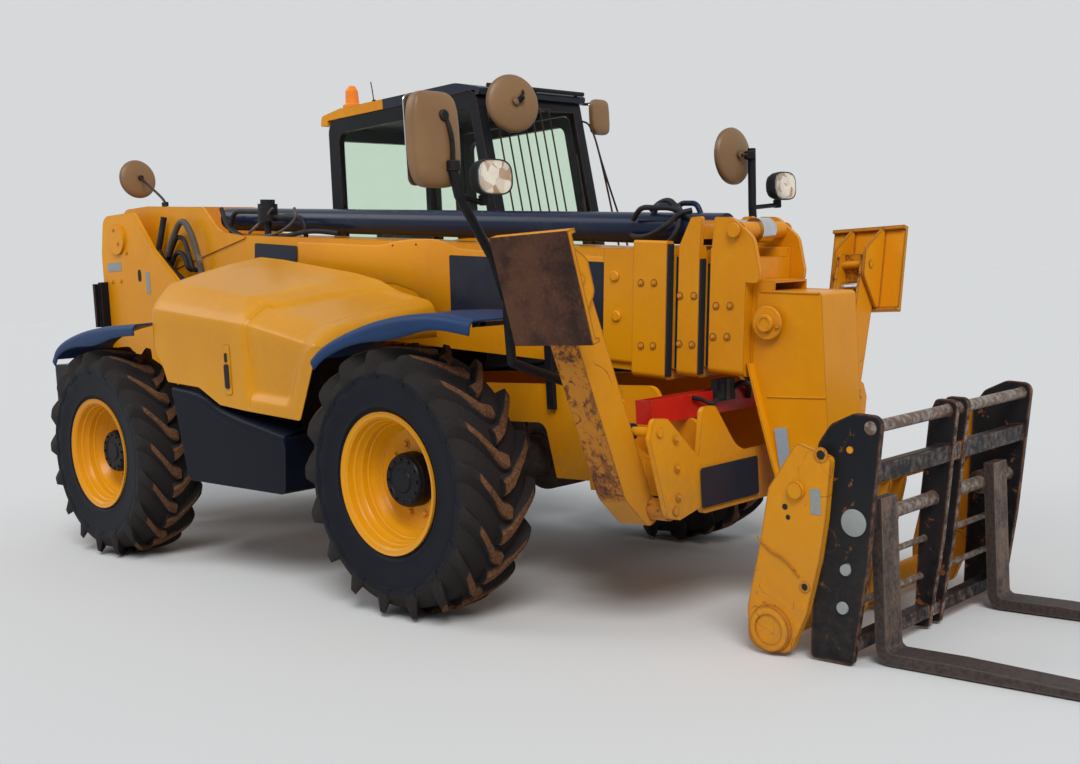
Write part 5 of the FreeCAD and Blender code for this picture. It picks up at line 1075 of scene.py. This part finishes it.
def panel(corners, y, thick=0.003, radius=0.012):
    # a thin plate on a side face at y: four corners in x and z, each rounded off by a parabola
    corners = np.insert(np.array(corners, float), 1, y, axis=1)
    centre = corners.mean(0)
    a = unit(corners[1] - corners[0])
    b = np.cross([0, -1, 0], a)
    flat = np.stack([(corners - centre) @ a, (corners - centre) @ b], -1)
    before, after = np.roll(flat, 1, 0), np.roll(flat, -1, 0)
    start, stop = flat + unit(before - flat) * radius, flat + unit(after - flat) * radius
    t = np.linspace(0, 1, 6)[None, :, None]
    curve = (1 - t) ** 2 * start[:, None] + 2 * t * (1 - t) * flat[:, None] + t ** 2 * stop[:, None]
    return plaque(curve.reshape(-1, 2), centre, a, b, thick, 0.0006)


sidePanel = panel([(-0.167, 1.387), (0.914, 1.273), (0.936, 1.597), (-0.155, 1.692)], -0.215)
cheekPlate = panel([(-1.98, 1.751), (-1.53, 1.728), (-1.518, 1.824), (-1.964, 1.87)], -0.2195)
put("outer_boom_panels", together([both(sidePanel), cheekPlate]), "panel", "outer_boom")
strip = panel([(1.832, 0.6), (1.886, 0.625), (1.866, 0.83), (1.806, 0.822)], -0.1395, 0.007, 0.006)
put("boom_nose_strip", strip, "strip", "boom_nose")
print("boom details made")


# Drop head's hitch and carriage details

def ringPart(place, outer, inner, height):
    profile = [(0, outer), (height * 0.7, outer), (height, outer - 0.004), (height, inner), (0, inner)]
    return lathe(profile, place, toRight, 40, closed=True)


def discPart(place, radius, height):
    return lathe([(0, radius), (height * 0.7, radius), (height, radius * 0.93), (height, 0)], place, toRight, 36)


hitchShape = dict(
    rings=[((2.377, -0.695, 0.81), 0.03, 0.018, 0.004), ((2.283, -0.695, 0.294), 0.024, 0.014, 0.004),
        ((2.12, -0.709, 0.108), 0.088, 0.06, 0.006)],
    boss=((2.265, -0.695, 0.669), 0.036, 0.02),
    weld=[(2.075, -0.697, 0.47), (2.13, -0.699, 0.42), (2.2, -0.699, 0.395), (2.262, -0.697, 0.33)],
    holes=[((2.377, -0.695, 0.81), 0.018, 0.0015), ((2.283, -0.695, 0.294), 0.014, 0.0015),
        ((2.208, -0.695, 0.6), 0.012, 0.002), ((2.22, -0.695, 0.56), 0.01, 0.002)],
    discs=[((2.487, -0.6645, 0.556), 0.052, 0.006), ((2.446, -0.664, 0.373), 0.022, 0.01),
        ((2.427, -0.664, 0.225), 0.024, 0.01)],
    stud=((2.482, -0.664, 0.83), 0.014, 0.003))
hitchSide = together([ringPart(*ring) for ring in hitchShape["rings"]]
    + [discPart(*hitchShape["boss"]), tube(hitchShape["weld"], 0.004, sides=8)])
# dark discs where the holes are: painted shade inside the holes
hitchHoleShade = together([discPart(*hole) for hole in hitchShape["holes"]])
put("tool_carrier_rings", both(hitchSide), "hitch", "carrier")
put("tool_carrier_hole_shade", both(hitchHoleShade), "interior", "carrier")
discs = together([discPart(*disc) for disc in hitchShape["discs"]])
put("fork_frame_discs", both(discs), "grey", "carrier")
blank = sidePlate((2.345, -0.695, 0.63), 0.045, 0.1, 0.005, 0.002, 0.0005)
put("tool_carrier_plate", blank, "grey", "carrier")
put("fork_frame_studs", both(discPart(*hitchShape["stud"])), "body", "carrier")
print("carriage details made")


# Chassis, cover and frame details

crossBadge = plaque(roundRect(0.42, 0.17, 0.012), (1.6985, -0.337, 0.612), (0, 1, 0), (0, 0, 1), 0.003, 0.0006)
put("front_frame_badge", crossBadge, "panel", "chassis")
latch = together([sidePlate((-0.945, -1.13, 1.115), 0.034, 0.13, 0.01, 0.012, 0.003),
    sidePlate((-0.945, -1.13, 1.215), 0.014, 0.05, 0.006, 0.012, 0.003)])
put("bonnet_latch", latch, "interior", "bonnet")
latchPlate = sidePlate((-0.945, -1.1275, 1.15), 0.066, 0.27, 0.018, 0.005, 0.003)
put("bonnet_latch_plate", latchPlate, "bonnet", "bonnet")
tailPlate = plaque(roundRect(0.07, 0.26, 0.012), (-3.724, -0.3925, 1.535), toRight, (0, 0, 1), 0.008, 0.003)
put("tail_lamps_lenses", both(tailPlate), "tailLens", "chassis")
cap = lathe([(0, 0.045), (0.022, 0.045), (0.028, 0.04), (0.03, 0)], (-1.3, 1.09, 0.93), (0, 1, 0), 32)
capBar = boxPart((-1.335, 1.118, 0.922), (-1.265, 1.13, 0.938))
put("left_base_cap", together([cap, capBar]), "interior", "chassis")
treads = [boxPart((-1.02, 0.905, z), (-0.56, 1.122, z + 0.006)) for z in (0.531, 0.781)]
rows = np.stack(np.meshgrid(np.linspace(-1.0, -0.58, 12), np.linspace(0.96, 1.1, 4), indexing="ij"), -1)
rows = rows.reshape(-1, 2)
studs = lathe([(0, 0.01), (0.004, 0.009), (0.004, 0.005), (0, 0.004)], (0, 0, 0), (0, 0, 1), 8, closed=True)
treadStuds = repeated(studs, np.vstack([np.column_stack([rows, np.full(len(rows), z)]) for z in (0.537, 0.787)]))
put("left_base_treads", together(treads + [treadStuds]), "steel", "chassis")
for hand, s in (("right", -1), ("left", 1)):
    # bolts on the front frame's lugs
    heads = bolts([(1.698, s * 0.7, z) for z in (0.6, 0.72, 0.84)], (1, 0, 0), 0.011)
    put("front_frame_bolts_" + hand, heads, "body", "chassis")
# raised band along the skirt's top edge, closed by a ledge that runs in under the cover
edgeLine = smoothLine([(-1.52, 1.04), (-1.215, 1.008), (-1.055, 0.918), (-0.47, 0.808)], 2)
band = [(0, -1.122, -0.05), (0, -1.134, -0.046), (0, -1.136, -0.006), (0, -1.13, 0.006), (0, -1.1, 0.02),
    (0, -1.000, 0.04), (0, -1.000, 0.03), (0, -1.1, 0.006), (0, -1.12, -0.01)]
put("side_skirt_band", carried(edgeLine, band), "cover", "chassis", smooth=40)
# right cheek of the boom's tower: a dark plate of painted shade for the slot, blank plates, bolts
cheekPlates = together([sidePlate((-3.55, -0.345, 1.802), 0.19, 0.062, 0.008, 0.003, 0.0006),
    sidePlate((-3.1, -0.345, 1.672), 0.05, 0.15, 0.006, 0.003, 0.0006)])
put("chassis_cheek_plates", cheekPlates, "grey", "chassis")
cheekSlotShade = sidePlate((-3.209, -0.345, 1.725), 0.045, 0.085, 0.022, 0.0015, 0.0004)
put("chassis_cheek_slot_shade", cheekSlotShade, "interior", "chassis")
cheekBolts = bolts([(-3.364, -0.345, 1.892), (-3.47, -0.345, 1.7), (-3.59, -0.345, 1.7)], toRight, 0.011)
pivotBolts = bolts([(-3.495, -0.363, 2.06), (-3.444, -0.363, 1.96)], toRight, 0.01)
put("chassis_cheek_bolts", together([cheekBolts, pivotBolts]), "body", "chassis")
# valve block with its hoses on the red strut
valveBlock = [boxPart((1.488, -0.16, 0.935), (1.52, -0.02, 1.035)),
    boxPart((1.52, -0.145, 0.95), (1.532, -0.115, 1.02)),
    tube([(1.505, -0.03, 0.985), (1.53, 0.03, 1.01), (1.52, 0.09, 0.985), (1.5, 0.11, 0.93)], 0.014),
    tube([(1.505, -0.15, 0.95), (1.53, -0.21, 0.925), (1.525, -0.27, 0.955), (1.505, -0.32, 0.97)], 0.01)]
put("boom_prop_block", together(valveBlock), "hose", "chassis", smooth=40)
put("boom_prop_band", boxPart((1.519, -0.09, 0.938), (1.5225, -0.065, 1.032)), "paleHose", "chassis")
print("chassis details made")

# pressed plate along the boom's side: its top edge humps, its lower edge steps down ahead of the cover
sideSheet = dict(y=-0.2095, thick=0.006, rear=-1.52, front=0.955, roll=0.01,
    top=[(-1.52, 1.849), (-1.1, 1.812), (-0.82, 1.785), (-0.7, 1.783), (-0.6, 1.793), (-0.5, 1.799),
        (-0.3, 1.79), (-0.2, 1.772), (-0.1, 1.73), (-0.02, 1.712), (0.955, 1.622)],
    low=[(-1.52, 1.64), (-1.00, 1.59), (-0.5, 1.545), (-0.33, 1.41), (-0.2, 1.365), (0.955, 1.25)])
sheetX = np.linspace(sideSheet["rear"], sideSheet["front"], 240)
topZ = np.interp(sheetX, *smoothLine(sideSheet["top"]).T)
lowZ = np.interp(sheetX, *smoothLine(sideSheet["low"], 1).T)
# its section as shares of the thickness, of the height and of the rolled edge
share = np.array([(0, 0, 0), (0.3, 0, 0), (1, 0, 1), (1, 1, -1), (0.3, 1, 0), (0, 1, 0)])
sheetY = sideSheet["y"] - sideSheet["thick"] * share[:, 0]
sheetZ = lowZ[:, None] + (topZ - lowZ)[:, None] * share[None, :, 1] + sideSheet["roll"] * share[None, :, 2]
sheetPart = skin(np.stack(np.broadcast_arrays(sheetX[:, None], sheetY[None], sheetZ), -1))
put("outer_boom_side_sheet", both(sheetPart), "boom", "outer_boom", smooth=30)
screwY = sideSheet["y"] - sideSheet["thick"] + 0.001
screws = bolts([(-0.62, screwY, 1.772), (-0.42, screwY, 1.765)], toRight, 0.006)
put("outer_boom_screws", both(screws), "panel", "outer_boom")
print("boom side sheet made")


# Floor, backdrop, light

studio = dict(floor=(0.66, 0.66, 0.655), air=(0.675, 0.69, 0.7), sky=(0.9, 0.95, 1.0), skyLevel=0.5,
    sunAt=(45.0, -40.0), sunLevel=2.1, sunSpread=28.0, fillAt=(35.0, -150.0), fillLevel=0.55)


def makeStage(look):
    f = Finish("floorPaper")
    tone = f.noise(0.5, 3.0)
    paper = f.finish(Base_Color=f.mix(tone, tuple(c * 0.985 for c in look["floor"]), look["floor"]), Roughness=0.9,
        Specular_IOR_Level=0.2)
    span = 400.0
    mesh = bpy.data.meshes.new("studioFloor")
    mesh.from_pydata([(-span, -span, 0), (span, -span, 0), (span, span, 0), (-span, span, 0)], [], [(0, 1, 2, 3)])
    mesh.materials.append(paper)
    floor = bpy.data.objects.new("studioFloor", mesh)
    bpy.context.scene.collection.objects.link(floor)


def makeLight(look):
    world = bpy.data.worlds.new("studio")
    bpy.context.scene.world = world
    world.use_nodes = True
    tree = world.node_tree
    tree.nodes.clear()
    path = tree.nodes.new("ShaderNodeLightPath")
    seen = Wire(tree, path.outputs["Is Camera Ray"])
    for ray in ("Is Glossy Ray", "Is Transmission Ray"):
        seen = seen + Wire(tree, path.outputs[ray])
    shades = []
    for colour, level in ((look["sky"], look["skyLevel"]), (look["air"], 1.0)):
        shade = tree.nodes.new("ShaderNodeBackground")
        shade.inputs["Color"].default_value, shade.inputs["Strength"].default_value = colour + (1.0,), level
        shades.append(shade)
    blend = tree.nodes.new("ShaderNodeMixShader")
    tree.links.new(seen.clip().socket, blend.inputs[0])
    tree.links.new(shades[0].outputs[0], blend.inputs[1])
    tree.links.new(shades[1].outputs[0], blend.inputs[2])
    output = tree.nodes.new("ShaderNodeOutputWorld")
    tree.links.new(blend.outputs[0], output.inputs["Surface"])
    suns = [("key", look["sunAt"], look["sunLevel"]), ("fill", look["fillAt"], look["fillLevel"])]
    for name, (high, turn), level in suns:
        data = bpy.data.lights.new(name, "SUN")
        data.energy, data.angle = level, math.radians(look["sunSpread"])
        lamp = bpy.data.objects.new(name, data)
        high, turn = math.radians(high), math.radians(turn)
        away = np.array([math.cos(high) * math.cos(turn), math.cos(high) * math.sin(turn), math.sin(high)])
        side = unit(np.cross([0, 0, 1], away))
        place = np.eye(4)
        place[:3, 0], place[:3, 1], place[:3, 2], place[:3, 3] = side, np.cross(away, side), away, away * 12
        lamp.matrix_world = Matrix(place.tolist())
        bpy.context.scene.collection.objects.link(lamp)
    bpy.context.scene.view_settings.view_transform = "Standard"


makeStage(studio)
makeLight(studio)
print("stage and light made")


# Finishes of the frame's own nodes

nodesByFinish = dict(
    body="chassis_frame front_frame", boom="outer_boom boom_2 boom_3 boom_nose", black="rear_weight cab_frame cab_door "
    "light_masts tail_lamps", axle="front_axle rear_axle engine_block", roof="cab_roof", glass="cab_glass door_glass",
    interior="steering_column", cover="side_skirt left_base", amber="beacon", red="boom_prop", hose="boom_hoses",
    ram="ram_barrel lift_barrel tilt_barrel", chrome="ram_rod lift_rod tilt_rod", hitch="tool_carrier",
    carriage="fork_frame", fork="fork_left fork_right")
nodeFinish = {name: finish for finish, names in nodesByFinish.items() for name in names.split()}
for hand in ("left", "right"):
    nodeFinish["stabiliser_leg_" + hand] = "leg"
    nodeFinish["stabiliser_pad_" + hand] = "pad" + hand.capitalize()
    nodeFinish["stabiliser_barrel_" + hand] = "ram"
    nodeFinish["stabiliser_rod_" + hand] = "chrome"
    for end in ("front", "rear"):
        nodeFinish["knuckle_%s_%s" % (end, hand)] = "axle"
for name, finish in nodeFinish.items():
    nodes[name].data.materials.clear()
    nodes[name].data.materials.append(finishes[finish])
print("node finishes set")
